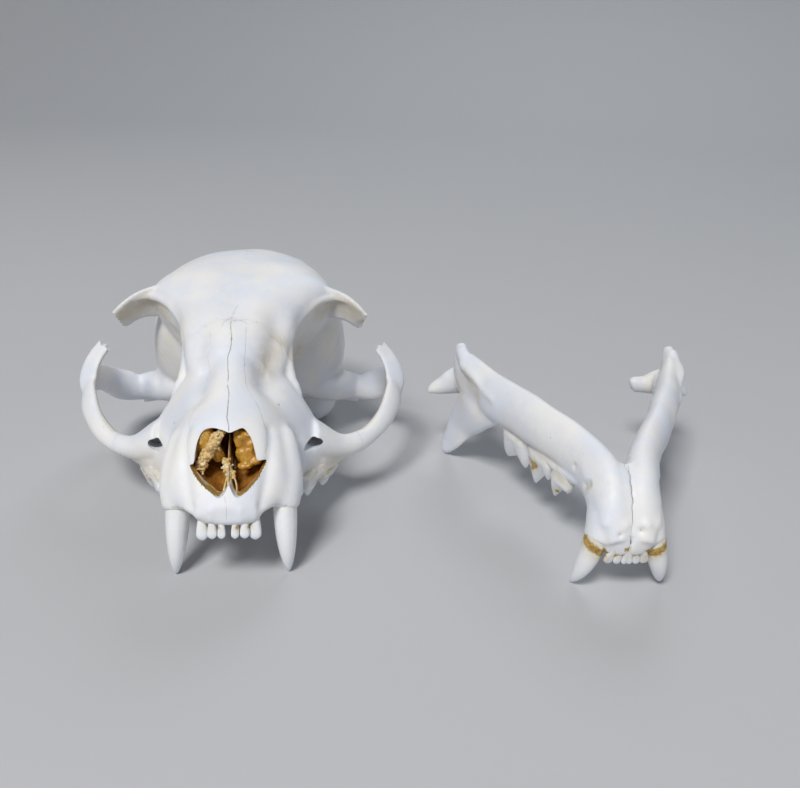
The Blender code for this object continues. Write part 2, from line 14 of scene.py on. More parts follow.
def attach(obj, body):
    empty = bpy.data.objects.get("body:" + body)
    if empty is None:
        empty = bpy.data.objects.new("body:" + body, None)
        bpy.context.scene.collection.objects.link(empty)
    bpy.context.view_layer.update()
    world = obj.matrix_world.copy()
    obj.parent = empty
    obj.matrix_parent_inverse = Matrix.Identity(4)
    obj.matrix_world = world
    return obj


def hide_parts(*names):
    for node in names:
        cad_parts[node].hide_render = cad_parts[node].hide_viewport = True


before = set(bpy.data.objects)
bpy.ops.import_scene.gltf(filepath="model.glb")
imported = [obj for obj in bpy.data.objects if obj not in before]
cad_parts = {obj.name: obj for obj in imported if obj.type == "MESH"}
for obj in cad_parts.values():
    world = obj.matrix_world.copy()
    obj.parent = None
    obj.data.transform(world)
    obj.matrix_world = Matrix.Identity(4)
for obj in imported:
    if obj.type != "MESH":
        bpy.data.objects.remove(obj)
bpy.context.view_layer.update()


# ---- camera -----------------------------------------------------------------------------------------
# The view of the photo: a look down from the front, rolled by two and a half degrees. It aims at the table
# midway between the two bones and level with their backs.

VIEW_AIM = (0.0010, 0.0434, 0.0)
VIEW_DISTANCE = 0.230
VIEW_DOWN = math.radians(23.45)
VIEW_ROLL = math.radians(-2.46)
VIEW_LENS = 37.62

camera = bpy.data.objects.new("camera", bpy.data.cameras.new("camera"))
bpy.context.scene.collection.objects.link(camera)
bpy.context.scene.camera = camera
camera.data.lens = VIEW_LENS
camera.data.sensor_width = 36.0
camera.data.clip_start = 0.005
look = np.array([0.0, math.cos(VIEW_DOWN), -math.sin(VIEW_DOWN)])
side = np.array([1.0, 0.0, 0.0])
top = np.cross(side, look) * math.cos(VIEW_ROLL) + side * math.sin(VIEW_ROLL)
stand = np.eye(4)
stand[:3, :3] = np.column_stack([np.cross(look, top), top, -look])
stand[:3, 3] = np.array(VIEW_AIM) - look * VIEW_DISTANCE
camera.matrix_world = Matrix(stand.tolist())


# ---- table ------------------------------------------------------------------------------------------
# The table is one sheet of pale matt paper. It lies flat under the bones and curves up all round, so that
# every side is seen on a plain ground.

SHEET_BEND_START = 0.7
SHEET_BEND_RADIUS = 0.8
SHEET_TOP = 2.4
SHEET_SIDES = 96
SHEET_COLOUR = (0.52, 0.53, 0.55, 1.0)
SHEET_ROUGHNESS = 0.85


def numpy_mesh(name, verts, faces):
    """A mesh object from an array of points and a list of arrays of faces, each with one face size."""
    mesh = bpy.data.meshes.new(name)
    corners = np.concatenate([part.ravel() for part in faces]).astype(np.int32)
    sizes = np.concatenate([np.full(len(part), part.shape[1]) for part in faces])
    mesh.vertices.add(len(verts))
    mesh.vertices.foreach_set("co", np.asarray(verts, np.float32).ravel())
    mesh.loops.add(len(corners))
    mesh.loops.foreach_set("vertex_index", corners)
    mesh.polygons.add(len(sizes))
    mesh.polygons.foreach_set("loop_start", (np.cumsum(sizes) - sizes).astype(np.int32))
    mesh.update(calc_edges=True)
    piece = bpy.data.objects.new(name, mesh)
    bpy.context.scene.collection.objects.link(piece)
    return piece


def grid_faces(rows, columns):
    """The quads of a grid of points, closed round its columns."""
    r, c = np.meshgrid(np.arange(rows - 1), np.arange(columns), indexing="ij")
    here = r * columns + c
    right = r * columns + (c + 1) % columns
    return np.stack([here, right, right + columns, here + columns], -1).reshape(-1, 4)


def full_turn(sides):
    """So many even angles round a circle."""
    return np.linspace(0, 2 * math.pi, sides, endpoint=False)


# The sheet is a profile of radius and height, spun about the upright: flat, a quarter circle, then upright.
bend = np.linspace(0, math.pi / 2, 24)
profile = np.vstack([
    [[1e-4, 0.0], [0.2, 0.0], [0.45, 0.0]],
    np.column_stack([SHEET_BEND_START + SHEET_BEND_RADIUS * np.sin(bend),
                     SHEET_BEND_RADIUS * (1 - np.cos(bend))]),
    [SHEET_BEND_START + SHEET_BEND_RADIUS, SHEET_TOP],
])
spin = full_turn(SHEET_SIDES)
sheet_points = np.stack([profile[:, :1] * np.cos(spin), profile[:, :1] * np.sin(spin),
                         profile[:, 1:] + 0 * spin], -1).reshape(-1, 3)
middle_face = np.arange(SHEET_SIDES)[None]
sheet = numpy_mesh("paper_sheet", sheet_points, [grid_faces(len(profile), SHEET_SIDES)[:, ::-1], middle_face])
sheet.data.shade_smooth()
paper = bpy.data.materials.new("paper")
paper.use_nodes = True
paper_surface = paper.node_tree.nodes["Principled BSDF"]
paper_surface.inputs["Base Color"].default_value = SHEET_COLOUR
paper_surface.inputs["Roughness"].default_value = SHEET_ROUGHNESS
sheet.data.materials.append(paper)


# ---- light ------------------------------------------------------------------------------------------
# Soft studio light: a square lamp high on the left of the front, a weaker and larger one on the right, one
# behind that draws the bones' upper edges, and a pale room that fills what is left.

BONES_MIDDLE = Vector((0, 0, 0.02))
ROOM_COLOUR = (0.80, 0.87, 1.0, 1.0)
ROOM_STRENGTH = 0.08


def soft_lamp(name, place, size, power, colour):
    """A square area lamp that faces the bones."""
    data = bpy.data.lights.new(name, "AREA")
    data.size = size
    data.energy = power
    data.color = colour
    lamp = bpy.data.objects.new(name, data)
    lamp.location = place
    lamp.rotation_euler = (BONES_MIDDLE - lamp.location).to_track_quat("-Z", "Y").to_euler()
    bpy.context.scene.collection.objects.link(lamp)


soft_lamp("key", (-0.30, -0.72, 1.00), 0.34, 12.5, (1.0, 0.985, 0.96))
soft_lamp("fill", (0.95, -0.55, 0.50), 0.60, 1.0, (0.90, 0.95, 1.0))
soft_lamp("rim", (0.20, 0.95, 0.80), 0.50, 3.0, (0.92, 0.96, 1.0))
room = bpy.data.worlds.new("room")
bpy.context.scene.world = room
room.use_nodes = True
room.node_tree.nodes["Background"].inputs["Color"].default_value = ROOM_COLOUR
room.node_tree.nodes["Background"].inputs["Strength"].default_value = ROOM_STRENGTH
bpy.context.scene.view_settings.view_transform = "Standard"


# ---- cranium: the fused bone ------------------------------------------------------------------------
# The cranium grew as many bones that knit into one shell: the round brain capsule, the snout, the palate
# and the two cheek arches. It has been cleaned, degreased and bleached, and is dry.

BONE_VOXEL = 0.38
COARSE_VOXEL = 0.42
CHEEK_VOXEL = 0.3
CRANIUM_PLACE = (-27.7, -46.5, 13.2)
CRANIUM_TURNS = (-8.2, 0.0, 6.4)
CAPSULE_SHIFT = 0.2
MUZZLE_SHIFT = 0.3
EYE_MIDDLE = (21.4, 38.6, 18.6)
MILLIMETRE = 0.001


def smooth_rows(rows, steps):
    """Catmull-Rom: each point is a cubic blend of the four table rows nearest to it."""
    rows = np.asarray(rows, float)
    ends = np.vstack([2 * rows[:1] - rows[1:2], rows, 2 * rows[-1:] - rows[-2:-1]])
    along = np.linspace(0, len(rows) - 1, (len(rows) - 1) * steps + 1)
    first = np.minimum(along.astype(int), len(rows) - 2)
    t = (along - first)[:, None]
    a, b, c, d = (ends[first + k] for k in range(4))
    return 0.5 * (2 * b + (c - a) * t + (2 * a - 5 * b + 4 * c - d) * t**2 + (3 * b - a - 3 * c + d) * t**3)


def unit(ways):
    """Ways cut or stretched to length one."""
    return ways / np.linalg.norm(ways, axis=-1, keepdims=True)


def closed_skin(rings):
    """Rings of points, rows by columns by xyz, as a closed skin: quads between rings, a fan at each end."""
    rows, columns = rings.shape[:2]
    verts = np.vstack([rings.reshape(-1, 3), rings[0].mean(axis=0), rings[-1].mean(axis=0)])
    k = np.arange(columns)
    after = (k + 1) % columns
    base = (rows - 1) * columns
    first_fan = np.column_stack([after, k, np.full(columns, rows * columns)])
    last_fan = np.column_stack([base + k, base + after, np.full(columns, rows * columns + 1)])
    return verts, grid_faces(rows, columns), np.vstack([first_fan, last_fan])


def bent_sine(turn, square):
    """The sine raised to 2 / square with its sign kept, which squares or pinches an ellipse."""
    wave = np.sin(turn)
    return np.sign(wave) * np.abs(wave) ** (2 / square)


def vault(stations, sides=96, steps=8):
    """Upright sections along y, each an ellipse x = half width * cos, z = widest + height * sin, squared off.

    A station holds y, half width, top, bottom, height of the widest place, and squareness above and below.
    """
    rows = smooth_rows(stations, steps)[:, :, None]
    y, half_width, top, bottom, widest, square_top, square_bottom = (rows[:, k] for k in range(7))
    turn = full_turn(sides)[None, :]
    upper = np.sin(turn) >= 0
    square = np.where(upper, square_top, square_bottom)
    height = np.where(upper, top - widest, widest - bottom)
    x = half_width * bent_sine(turn + math.pi / 2, square)
    z = widest + height * bent_sine(turn, square)
    return closed_skin(np.stack([x, np.broadcast_to(y, x.shape), z], -1))


def limb(rows, tall_way=(0, 0, 1), sides=40, steps=8):
    """An oval carried along a path.

    A ring is place + tall * half height * sin + wide * (half width * cos + bow * sin^2). A row holds x, y, z,
    half height, half width and perhaps a bow, which bends the oval's two ends to one side; tall is the given
    way made square to the path.
    """
    rows = smooth_rows(rows, steps)
    places = rows[:, :3]
    ways = unit(np.gradient(places, axis=0))
    tall = unit(np.array(tall_way, float) - ways * (ways @ np.array(tall_way, float))[:, None])
    wide = np.cross(ways, tall)
    turn = full_turn(sides)[None, :, None]
    bow = rows[:, None, 5:6] if rows.shape[1] > 5 else 0.0
    rings = places[:, None] + tall[:, None] * rows[:, None, 3:4] * np.sin(turn)
    rings = rings + wide[:, None] * (rows[:, None, 4:5] * np.cos(turn) + bow * np.sin(turn) ** 2)
    return closed_skin(rings)


def turned_by(turns):
    """The 3 by 3 matrix that turns by so many degrees about x, then y, then z."""
    spun = np.eye(3)
    for axis, degrees in enumerate(turns):
        c, s = math.cos(math.radians(degrees)), math.sin(math.radians(degrees))
        one = np.eye(3)
        j, k = (axis + 1) % 3, (axis + 2) % 3
        one[j, j], one[j, k], one[k, j], one[k, k] = c, -s, s, c
        spun = one @ spun
    return spun


def ball(centre, radii, turns=(0, 0, 0), rows=24, sides=40):
    """An ellipsoid: radii times the unit sphere of latitude and longitude, turned and moved."""
    lift = np.linspace(-0.49 * math.pi, 0.49 * math.pi, rows)[:, None]
    turn = full_turn(sides)[None, :]
    globe = np.stack([np.cos(lift) * np.cos(turn), np.cos(lift) * np.sin(turn), np.sin(lift) + 0 * turn], -1)
    return closed_skin((globe * np.array(radii)) @ turned_by(turns).T + np.array(centre))


def mirrored(skin):
    """The other side's copy of a skin, its faces turned round so that they still point out."""
    verts, quads, fans = skin
    return verts * (-1, 1, 1), quads[:, ::-1], fans[:, ::-1]


def both(*skins):
    """Each skin and its mirrored copy, in turn."""
    return [each for skin in skins for each in (skin, mirrored(skin))]


def joined(name, skins):
    """One mesh object of several skins; each skin that came out inside out is turned round."""
    verts, quads, fans, count = [], [], [], 0
    for points, squares, triangles in skins:
        a, b, c = (points[triangles[:, k]] for k in range(3))
        p, q, r, s = (points[squares[:, k]] for k in range(4))
        volume = np.einsum("ij,ij->", a, np.cross(b, c)) + np.einsum("ij,ij->", p, np.cross(q, r))
        volume += np.einsum("ij,ij->", p, np.cross(r, s))
        if volume < 0:
            squares, triangles = squares[:, ::-1], triangles[:, ::-1]
        verts.append(points)
        quads.append(squares + count)
        fans.append(triangles + count)
        count += len(points)
    return numpy_mesh(name, np.vstack(verts), [np.vstack(quads), np.vstack(fans)])


def settled(piece):
    """The piece with its modifiers turned into its mesh."""
    graph = bpy.context.evaluated_depsgraph_get()
    graph.update()
    mesh = bpy.data.meshes.new_from_object(piece.evaluated_get(graph))
    piece.modifiers.clear()
    old = piece.data
    piece.data = mesh
    bpy.data.meshes.remove(old)
    return piece


def melted(name, skins, voxel, softening):
    """Overlapping skins as one skin of even squares, softened where they meet."""
    piece = joined(name, skins)
    melt = piece.modifiers.new("melt", "REMESH")
    melt.mode = "VOXEL"
    melt.voxel_size = voxel
    soften = piece.modifiers.new("soften", "SMOOTH")
    soften.factor = 0.5
    soften.iterations = softening
    return settled(piece)


def carved(piece, skins):
    """The piece without the skins' insides."""
    for skin in skins:
        tool = joined("tool", [skin])
        cut = piece.modifiers.new("cut", "BOOLEAN")
        cut.operation = "DIFFERENCE"
        cut.solver = "MANIFOLD"
        cut.object = tool
        settled(piece)
        bpy.data.objects.remove(tool)
    return piece


NO_SQUARES = np.empty((0, 4), int)


def skin_of(piece):
    """A mesh as a skin of triangles again, so that more can be melted to it. Its object is removed."""
    mesh = piece.data
    mesh.calc_loop_triangles()
    verts = np.empty(len(mesh.vertices) * 3, np.float32)
    mesh.vertices.foreach_get("co", verts)
    corners = np.empty(len(mesh.loop_triangles) * 3, np.int32)
    mesh.loop_triangles.foreach_get("vertices", corners)
    bpy.data.objects.remove(piece)
    return verts.reshape(-1, 3).astype(float), NO_SQUARES, corners.reshape(-1, 3)


brain_capsule = vault([
    (44.0, 10.0, 34.5, 12.0, 25.0, 2.0, 2.0),
    (48.5, 16.4, 37.5, 6.5, 25.0, 2.35, 1.9),
    (54.0, 20.2, 39.5, 5.0, 20.0, 2.5, 2.1),
    (60.0, 21.7, 40.4, 4.0, 16.5, 2.45, 2.3),
    (66.0, 22.3, 40.0, 3.6, 15.0, 2.35, 2.4),
    (73.0, 21.6, 37.6, 3.2, 14.5, 2.3, 2.4),
    (79.0, 20.0, 34.0, 3.0, 14.5, 2.2, 2.4),
    (84.5, 17.3, 29.6, 3.0, 13.5, 2.1, 2.4),
    (88.3, 13.4, 25.4, 4.0, 12.5, 2.1, 2.3),
    (89.8, 8.0, 20.0, 7.0, 12.5, 2.0, 2.0),
])
brain_capsule[0][:, 0] += CAPSULE_SHIFT
forehead = vault([
    (23.0, 7.6, 25.2, 4.5, 18.0, 2.3, 1.5),
    (28.0, 9.9, 29.3, 4.0, 22.0, 2.4, 1.35),
    (33.0, 11.0, 32.3, 4.5, 26.0, 2.5, 1.25),
    (37.0, 12.0, 34.5, 5.0, 28.6, 2.6, 1.2),
    (41.0, 14.6, 36.2, 6.0, 31.0, 2.6, 1.2),
    (45.0, 18.2, 37.5, 7.0, 31.9, 2.4, 1.2),
    (49.0, 19.4, 38.6, 8.0, 30.8, 2.4, 1.3),
    (54.0, 19.4, 39.7, 10.0, 29.0, 2.3, 1.5),
    (60.0, 18.6, 40.4, 12.0, 27.0, 2.3, 1.8),
    (66.0, 15.0, 39.4, 14.0, 24.0, 2.2, 2.0),
    (71.0, 9.0, 36.0, 16.0, 24.0, 2.0, 2.0),
])
snout = vault([
    (0.3, 3.6, 3.2, 0.4, 1.6, 2.4, 2.4),
    (1.6, 5.8, 5.0, 0.3, 1.8, 2.3, 3.0),
    (3.6, 7.9, 8.2, 0.6, 2.2, 2.1, 3.0),
    (6.0, 10.6, 12.6, 0.9, 2.6, 2.1, 3.0),
    (9.0, 11.6, 15.9, 0.7, 2.6, 2.05, 3.0),
    (13.0, 12.1, 18.6, 0.2, 2.8, 1.9, 3.0),
    (18.0, 13.4, 21.9, 0.2, 3.0, 1.65, 3.0),
    (23.0, 16.2, 25.3, 0.2, 3.5, 1.42, 3.0),
    (26.6, 17.6, 27.4, 0.3, 4.2, 1.36, 3.0),
    (28.8, 14.0, 26.5, 1.0, 5.5, 1.5, 3.0),
])
palate = vault([
    (18.0, 12.5, 4.0, 0.4, 2.0, 2.6, 3.0),
    (24.0, 17.2, 4.6, 0.4, 2.4, 2.6, 3.0),
    (29.0, 20.0, 5.0, 0.5, 2.6, 2.6, 3.0),
    (32.5, 20.4, 5.2, 0.8, 3.0, 2.4, 2.6),
    (35.5, 15.5, 6.0, 0.8, 3.2, 2.2, 2.4),
    (38.5, 11.0, 7.0, 1.0, 4.0, 2.0, 2.2),
    (41.0, 8.0, 9.0, 3.5, 6.0, 2.0, 2.0),
])
canine_socket = limb([
    (7.6, 19.5, 12.6, 1.4, 1.3),
    (8.9, 15.5, 11.2, 2.2, 1.9),
    (9.5, 12.2, 8.8, 2.7, 2.3),
    (9.7, 10.0, 5.8, 3.0, 2.6),
    (9.6, 8.4, 2.4, 3.1, 2.75),
    (9.5, 7.8, -0.1, 3.0, 2.7),
], tall_way=(0, 1, 0))
front_sockets = limb([
    (-5.2, 2.6, 0.9, 1.35, 1.0),
    (-2.8, 1.35, 0.6, 1.15, 0.95),
    (0.0, 0.95, 0.5, 1.05, 0.9),
    (2.8, 1.35, 0.6, 1.15, 0.95),
    (5.2, 2.6, 0.9, 1.35, 1.0),
])
muzzle = both(canine_socket) + [front_sockets]
for verts, _, _ in muzzle:
    verts[:, 0] += MUZZLE_SHIFT
eye_bowl = ball(EYE_MIDDLE, (10.6, 11.4, 12.4), rows=48, sides=72)
temple_root = limb([
    (12.0, 52.0, 10.0, 1.0, 1.0),
    (16.4, 56.0, 9.6, 3.2, 2.4),
    (20.4, 60.0, 9.2, 4.0, 2.5),
    (23.6, 63.2, 8.2, 3.3, 2.2),
    (26.2, 64.0, 7.8, 2.8, 1.8),
    (28.6, 62.6, 8.2, 2.2, 1.2),
    (30.4, 60.8, 9.0, 1.0, 0.6),
])
nape_side = [(19.4, 77.0, 6.0), (18.8, 80.4, 11.0), (16.2, 84.0, 16.3), (11.8, 87.0, 21.0), (6.0, 88.8, 23.6)]
nape_path = nape_side + [(0.0, 89.5, 24.4)] + [(-x, y, z) for x, y, z in reversed(nape_side)]
nape_crest = limb([(*place, 1.4, 1.2) for place in nape_path], tall_way=(0, 1, 0))
cheek_root = limb([(15.5, 24.5, 3.0, 2.0, 2.0), (19.4, 28.8, 2.9, 2.1, 1.9), (22.6, 32.2, 3.9, 1.7, 1.4)])
core = carved(melted("core", [brain_capsule, forehead, snout, palate, nape_crest, *muzzle,
                              *both(temple_root, cheek_root)], COARSE_VOXEL, 11), both(eye_bowl))

cheek_arch = limb([
    (13.5, 25.0, 7.0, 4.6, 4.0),
    (19.6, 28.0, 4.5, 2.6, 2.8),
    (25.0, 31.2, 4.9, 2.0, 1.7),
    (29.6, 36.2, 7.7, 2.3, 1.25),
    (32.4, 42.5, 11.5, 3.2, 1.1),
    (32.7, 48.5, 13.0, 3.6, 1.05),
    (32.3, 54.8, 12.1, 3.2, 1.1),
    (31.2, 59.3, 10.2, 3.3, 1.3),
    (29.0, 62.2, 8.3, 3.7, 1.8),
    (25.6, 64.6, 7.2, 2.9, 2.8),
    (20.0, 67.5, 7.2, 2.6, 4.2),
], tall_way=(-0.38, 0.1, 1))
cheek_spur = limb([
    (32.6, 43.6, 10.2, 1.4, 0.7, 0.0),
    (32.8, 44.7, 13.4, 2.7, 0.95, -0.2),
    (32.1, 45.6, 16.8, 2.5, 0.9, -0.3),
    (30.8, 46.4, 19.4, 2.2, 0.8, -0.3),
    (29.0, 46.8, 21.7, 2.0, 0.7, -0.2),
    (27.6, 46.9, 23.2, 1.9, 0.65, -0.1),
], tall_way=(0.75, 0.7, 0.2))
cheek = skin_of(melted("cheek", [cheek_arch, cheek_spur], CHEEK_VOXEL, 8))
brow_spur = limb([
    (11.0, 48.4, 30.6, 4.0, 4.4, 0.0),
    (15.5, 48.4, 31.2, 4.0, 2.8, 0.3),
    (19.0, 47.8, 31.0, 3.9, 1.5, 0.8),
    (21.8, 46.9, 30.3, 3.5, 1.1, 0.9),
    (24.0, 45.8, 28.9, 3.2, 0.95, 0.7),
    (25.6, 45.0, 27.4, 3.0, 0.85, 0.5),
    (27.0, 44.4, 26.0, 2.8, 0.8, 0.3),
], tall_way=(0, -0.55, 1))
under_brow = ball(EYE_MIDDLE, (10.2, 10.6, 11.6), rows=48, sides=72)
brow_spur = skin_of(carved(joined("brow_spur", [brow_spur]), [under_brow]))
eye_rim = limb([
    (24.6, 44.1, 30.2, 0.45, 0.5),
    (22.0, 44.9, 31.6, 0.6, 0.6),
    (18.6, 45.2, 32.2, 0.7, 0.7),
    (15.2, 42.4, 31.2, 0.7, 0.8),
    (13.0, 40.2, 29.6, 0.7, 0.8),
    (11.0, 37.0, 27.6, 0.7, 0.8),
    (10.0, 33.0, 25.0, 0.7, 0.8),
    (9.9, 30.3, 22.6, 0.7, 0.9),
    (10.1, 29.0, 20.0, 0.8, 0.9),
    (10.6, 28.2, 18.0, 0.8, 0.9),
    (11.7, 27.6, 16.2, 0.8, 0.9),
    (12.0, 27.1, 14.1, 0.8, 0.9),
    (13.2, 26.6, 11.7, 0.8, 0.9),
    (15.4, 26.4, 9.4, 0.8, 0.9),
], tall_way=(-0.3, 1, 0.2), steps=4)
ear_bulla = ball((13.4, 72.0, 4.3), (7.3, 11.0, 7.2), turns=(0, 0, 12), rows=36, sides=60)
ear_rim = ball((19.4, 68.5, 7.6), (3.4, 4.6, 4.0))
mastoid = ball((19.0, 77.5, 6.0), (3.2, 3.4, 4.6))
hinge_shelf = limb([(17.0, 66.6, 6.4, 1.8, 3.2), (23.0, 65.8, 6.0, 1.7, 2.8), (28.4, 63.4, 6.4, 1.8, 1.6)])
hinge_lip = limb([(18.5, 68.0, 5.0, 1.8, 1.2), (26.0, 66.6, 4.8, 1.8, 1.0)])
nape_knuckle = ball((7.6, 89.0, 5.4), (3.4, 3.2, 4.4), turns=(0, 20, 20))
nape_prong = limb([(15.8, 84.0, 8.0, 2.6, 1.8), (15.4, 83.0, 2.6, 1.6, 1.1)], tall_way=(1, 0, 0))
throat_wing = limb([
    (7.2, 36.0, 3.4, 3.4, 1.2),
    (6.7, 44.0, 4.6, 4.6, 0.8),
    (6.4, 50.5, 4.0, 4.2, 0.8),
    (6.4, 56.5, 4.6, 2.4, 1.0),
])
skull_floor = vault([
    (46.0, 5.0, 14.0, 6.2, 10.0, 2.2, 3.0),
    (58.0, 7.0, 12.0, 4.4, 8.0, 2.2, 3.0),
    (72.0, 8.5, 10.0, 3.2, 6.5, 2.2, 3.0),
    (86.0, 8.0, 9.0, 2.6, 6.0, 2.2, 3.0),
])
cheek_tooth_wall = limb([
    (12.6, 15.8, 0.8, 1.2, 1.5),
    (14.6, 21.6, 0.8, 1.2, 1.7),
    (17.0, 27.0, 0.9, 1.3, 1.9),
    (19.0, 32.4, 1.2, 1.3, 1.7),
    (17.6, 34.4, 1.4, 1.2, 1.5),
])
shells = [skin_of(core), skull_floor]
shells += both(cheek, brow_spur, eye_rim, throat_wing, ear_bulla, ear_rim, mastoid, hinge_shelf)
shells += both(hinge_lip, nape_knuckle, nape_prong, cheek_tooth_wall)
whole = melted("whole", shells, BONE_VOXEL, 3)


def points_of(piece):
    """A mesh's points and their outward ways, as two arrays."""
    count = len(piece.data.vertices)
    verts, ways = np.empty(count * 3, np.float32), np.empty(count * 3, np.float32)
    piece.data.vertices.foreach_get("co", verts)
    piece.data.vertices.foreach_get("normal", ways)
    return verts.reshape(-1, 3).astype(float), ways.reshape(-1, 3).astype(float)


def moved(piece, points):
    """Give a mesh new places for its points."""
    piece.data.vertices.foreach_set("co", points.astype(np.float32).ravel())
    piece.data.update()


def laid_path(points, path, step=0.5, wander=0.0, seed=0):
    """A path drawn on a surface: Catmull-Rom through the given places, each dropped to its nearest point.

    It is then evened out by a running mean, and wanders sideways by a seeded zigzag of the given size.
    """
    path = np.asarray(path, float)
    if len(path) > 1:
        length = np.linalg.norm(np.diff(path, axis=0), axis=1).sum()
        path = smooth_rows(path, max(2, int(length / step / (len(path) - 1))))
    near = points[(points > path.min(axis=0) - 4).all(axis=1) & (points < path.max(axis=0) + 4).all(axis=1)]
    if len(near):
        path = near[((path[:, None] - near[None]) ** 2).sum(axis=2).argmin(axis=1)]
    for _ in range(3 if len(path) > 4 else 0):
        path[1:-1] = (path[:-2] + 2 * path[1:-1] + path[2:]) / 4
    if wander:
        rng = np.random.default_rng(seed)
        along = np.gradient(path, axis=0)
        across = np.cross(along, path - points.mean(axis=0))
        across /= np.linalg.norm(across, axis=1, keepdims=True) + 1e-9
        path = path + across * (wander * rng.uniform(-1, 1, len(path)))[:, None]
    return path


def near_path(points, path, reach):
    """Which points lie within reach of a path, how far each is from it, and the nearest place and way of it.

    The distance is to the nearest place on any segment: start + segment * clamped share of the projection.
    """
    above = (points > path.min(axis=0) - reach).all(axis=1)
    which = np.nonzero(above & (points < path.max(axis=0) + reach).all(axis=1))[0]
    if len(path) == 1:
        path = np.vstack([path, path + (1e-4, 0, 0)])
    start, step = path[:-1], np.diff(path, axis=0)
    best = np.full(len(which), 1e9)
    place, way = np.zeros((len(which), 3)), np.zeros((len(which), 3))
    for a, s in zip(start, step):
        offset = points[which] - a
        share = np.clip(offset @ s / max(s @ s, 1e-12), 0, 1)[:, None]
        gap = np.linalg.norm(offset - s * share, axis=1)
        closer = gap < best
        best[closer] = gap[closer]
        place[closer] = (a + s * share)[closer]
        way[closer] = s
    keep = best < reach
    return which[keep], best[keep], place[keep], way[keep]


def other_side(strokes):
    """The mirrored copies of a list of strokes."""
    flip = np.array([-1.0, 1.0, 1.0])
    return [(np.asarray(path, float) * flip, *rest[:2], *(np.asarray(way) * flip for way in rest[2:]))
            for path, *rest in strokes]


def two_sided(*strokes):
    """Strokes, each followed by its mirrored copy."""
    return [each for stroke in strokes for each in (stroke, *other_side([stroke]))]


def bell(points, ways, path, radius, facing, reach, gain, start):
    """The points within reach times the radius of a path, and exp(-(distance / radius) squared) for each.

    Where a facing is given, it counts only as far as the skin looks that way: gain * cosine + start, 0 to 1.
    """
    which, gap, _, _ = near_path(points, laid_path(points, path), reach * radius)
    share = np.exp(-(gap / radius) ** 2)
    if facing:
        toward = np.asarray(facing[0], float) / np.linalg.norm(facing[0])
        share *= np.clip(gain * (ways[which] @ toward) + start, 0, 1)
    return which, share


def swell(points, ways, strokes):
    """How far each point rises: the sum over all strokes of height * bell.

    A stroke is a path on the surface, a radius and a height, and sometimes the way that it must face.
    """
    rise = np.zeros(len(points))
    for path, radius, height, *facing in strokes:
        which, share = bell(points, ways, path, radius, facing, 2.6, 2.0, 0.0)
        rise[which] += height * share
    return rise


def ripple(points, length, seed, waves=14):
    """A smooth wavering field: the mean of sines with seeded ways and phases, all of about one length."""
    rng = np.random.default_rng(seed)
    ways = rng.normal(size=(waves, 3))
    scales = (2 * math.pi / length) * rng.uniform(0.6, 1.3, (waves, 1))
    ways *= scales / np.linalg.norm(ways, axis=1, keepdims=True)
    return np.sin(points @ ways.T + rng.uniform(0, 2 * math.pi, waves)).sum(axis=1) / math.sqrt(waves)


def reshaped(piece, strokes, unevenness, length, seed):
    """Raise and sink the skin by its strokes and a faint wavering, along its outward ways."""
    points, ways = points_of(piece)
    rise = swell(points, ways, strokes) + unevenness * ripple(points, length, seed)
    moved(piece, points + ways * rise[:, None])


FACE_RELIEF = [
    ([(-1.2, 27, 28), (-1.0, 18, 21.5), (-0.4, 10, 15.5)], 3.0, 0.35),
    ([(8.2, 31.5, 29.6), (7.8, 26.5, 25.4), (7.0, 20.0, 20.0)], 3.5, -1.7),
    ([(-6.8, 28.5, 27.8), (-6.5, 24.5, 24.2), (-6.0, 17.0, 18.0)], 2.5, -0.9),
    ([(0, 30, 30.6), (0, 38, 34.6), (0, 46, 37.2), (0, 54, 39.6)], 2.2, -0.35),
    ([(0, 74, 37.4), (0, 82, 32.0), (0, 88, 25.6)], 1.3, 0.4),
    ([(0, 90, 22), (0, 90.3, 17)], 1.1, 0.5),
    ([(0, 8, 0.5), (0, 18, 0.4), (0, 31, 0.5)], 0.7, -0.25, (0, 0, -1)),
    ([(0, 9, 0.6), (0, 20, 0.6), (0, 31, 0.8)], 6.0, -0.9, (0, 0, -1)),
]
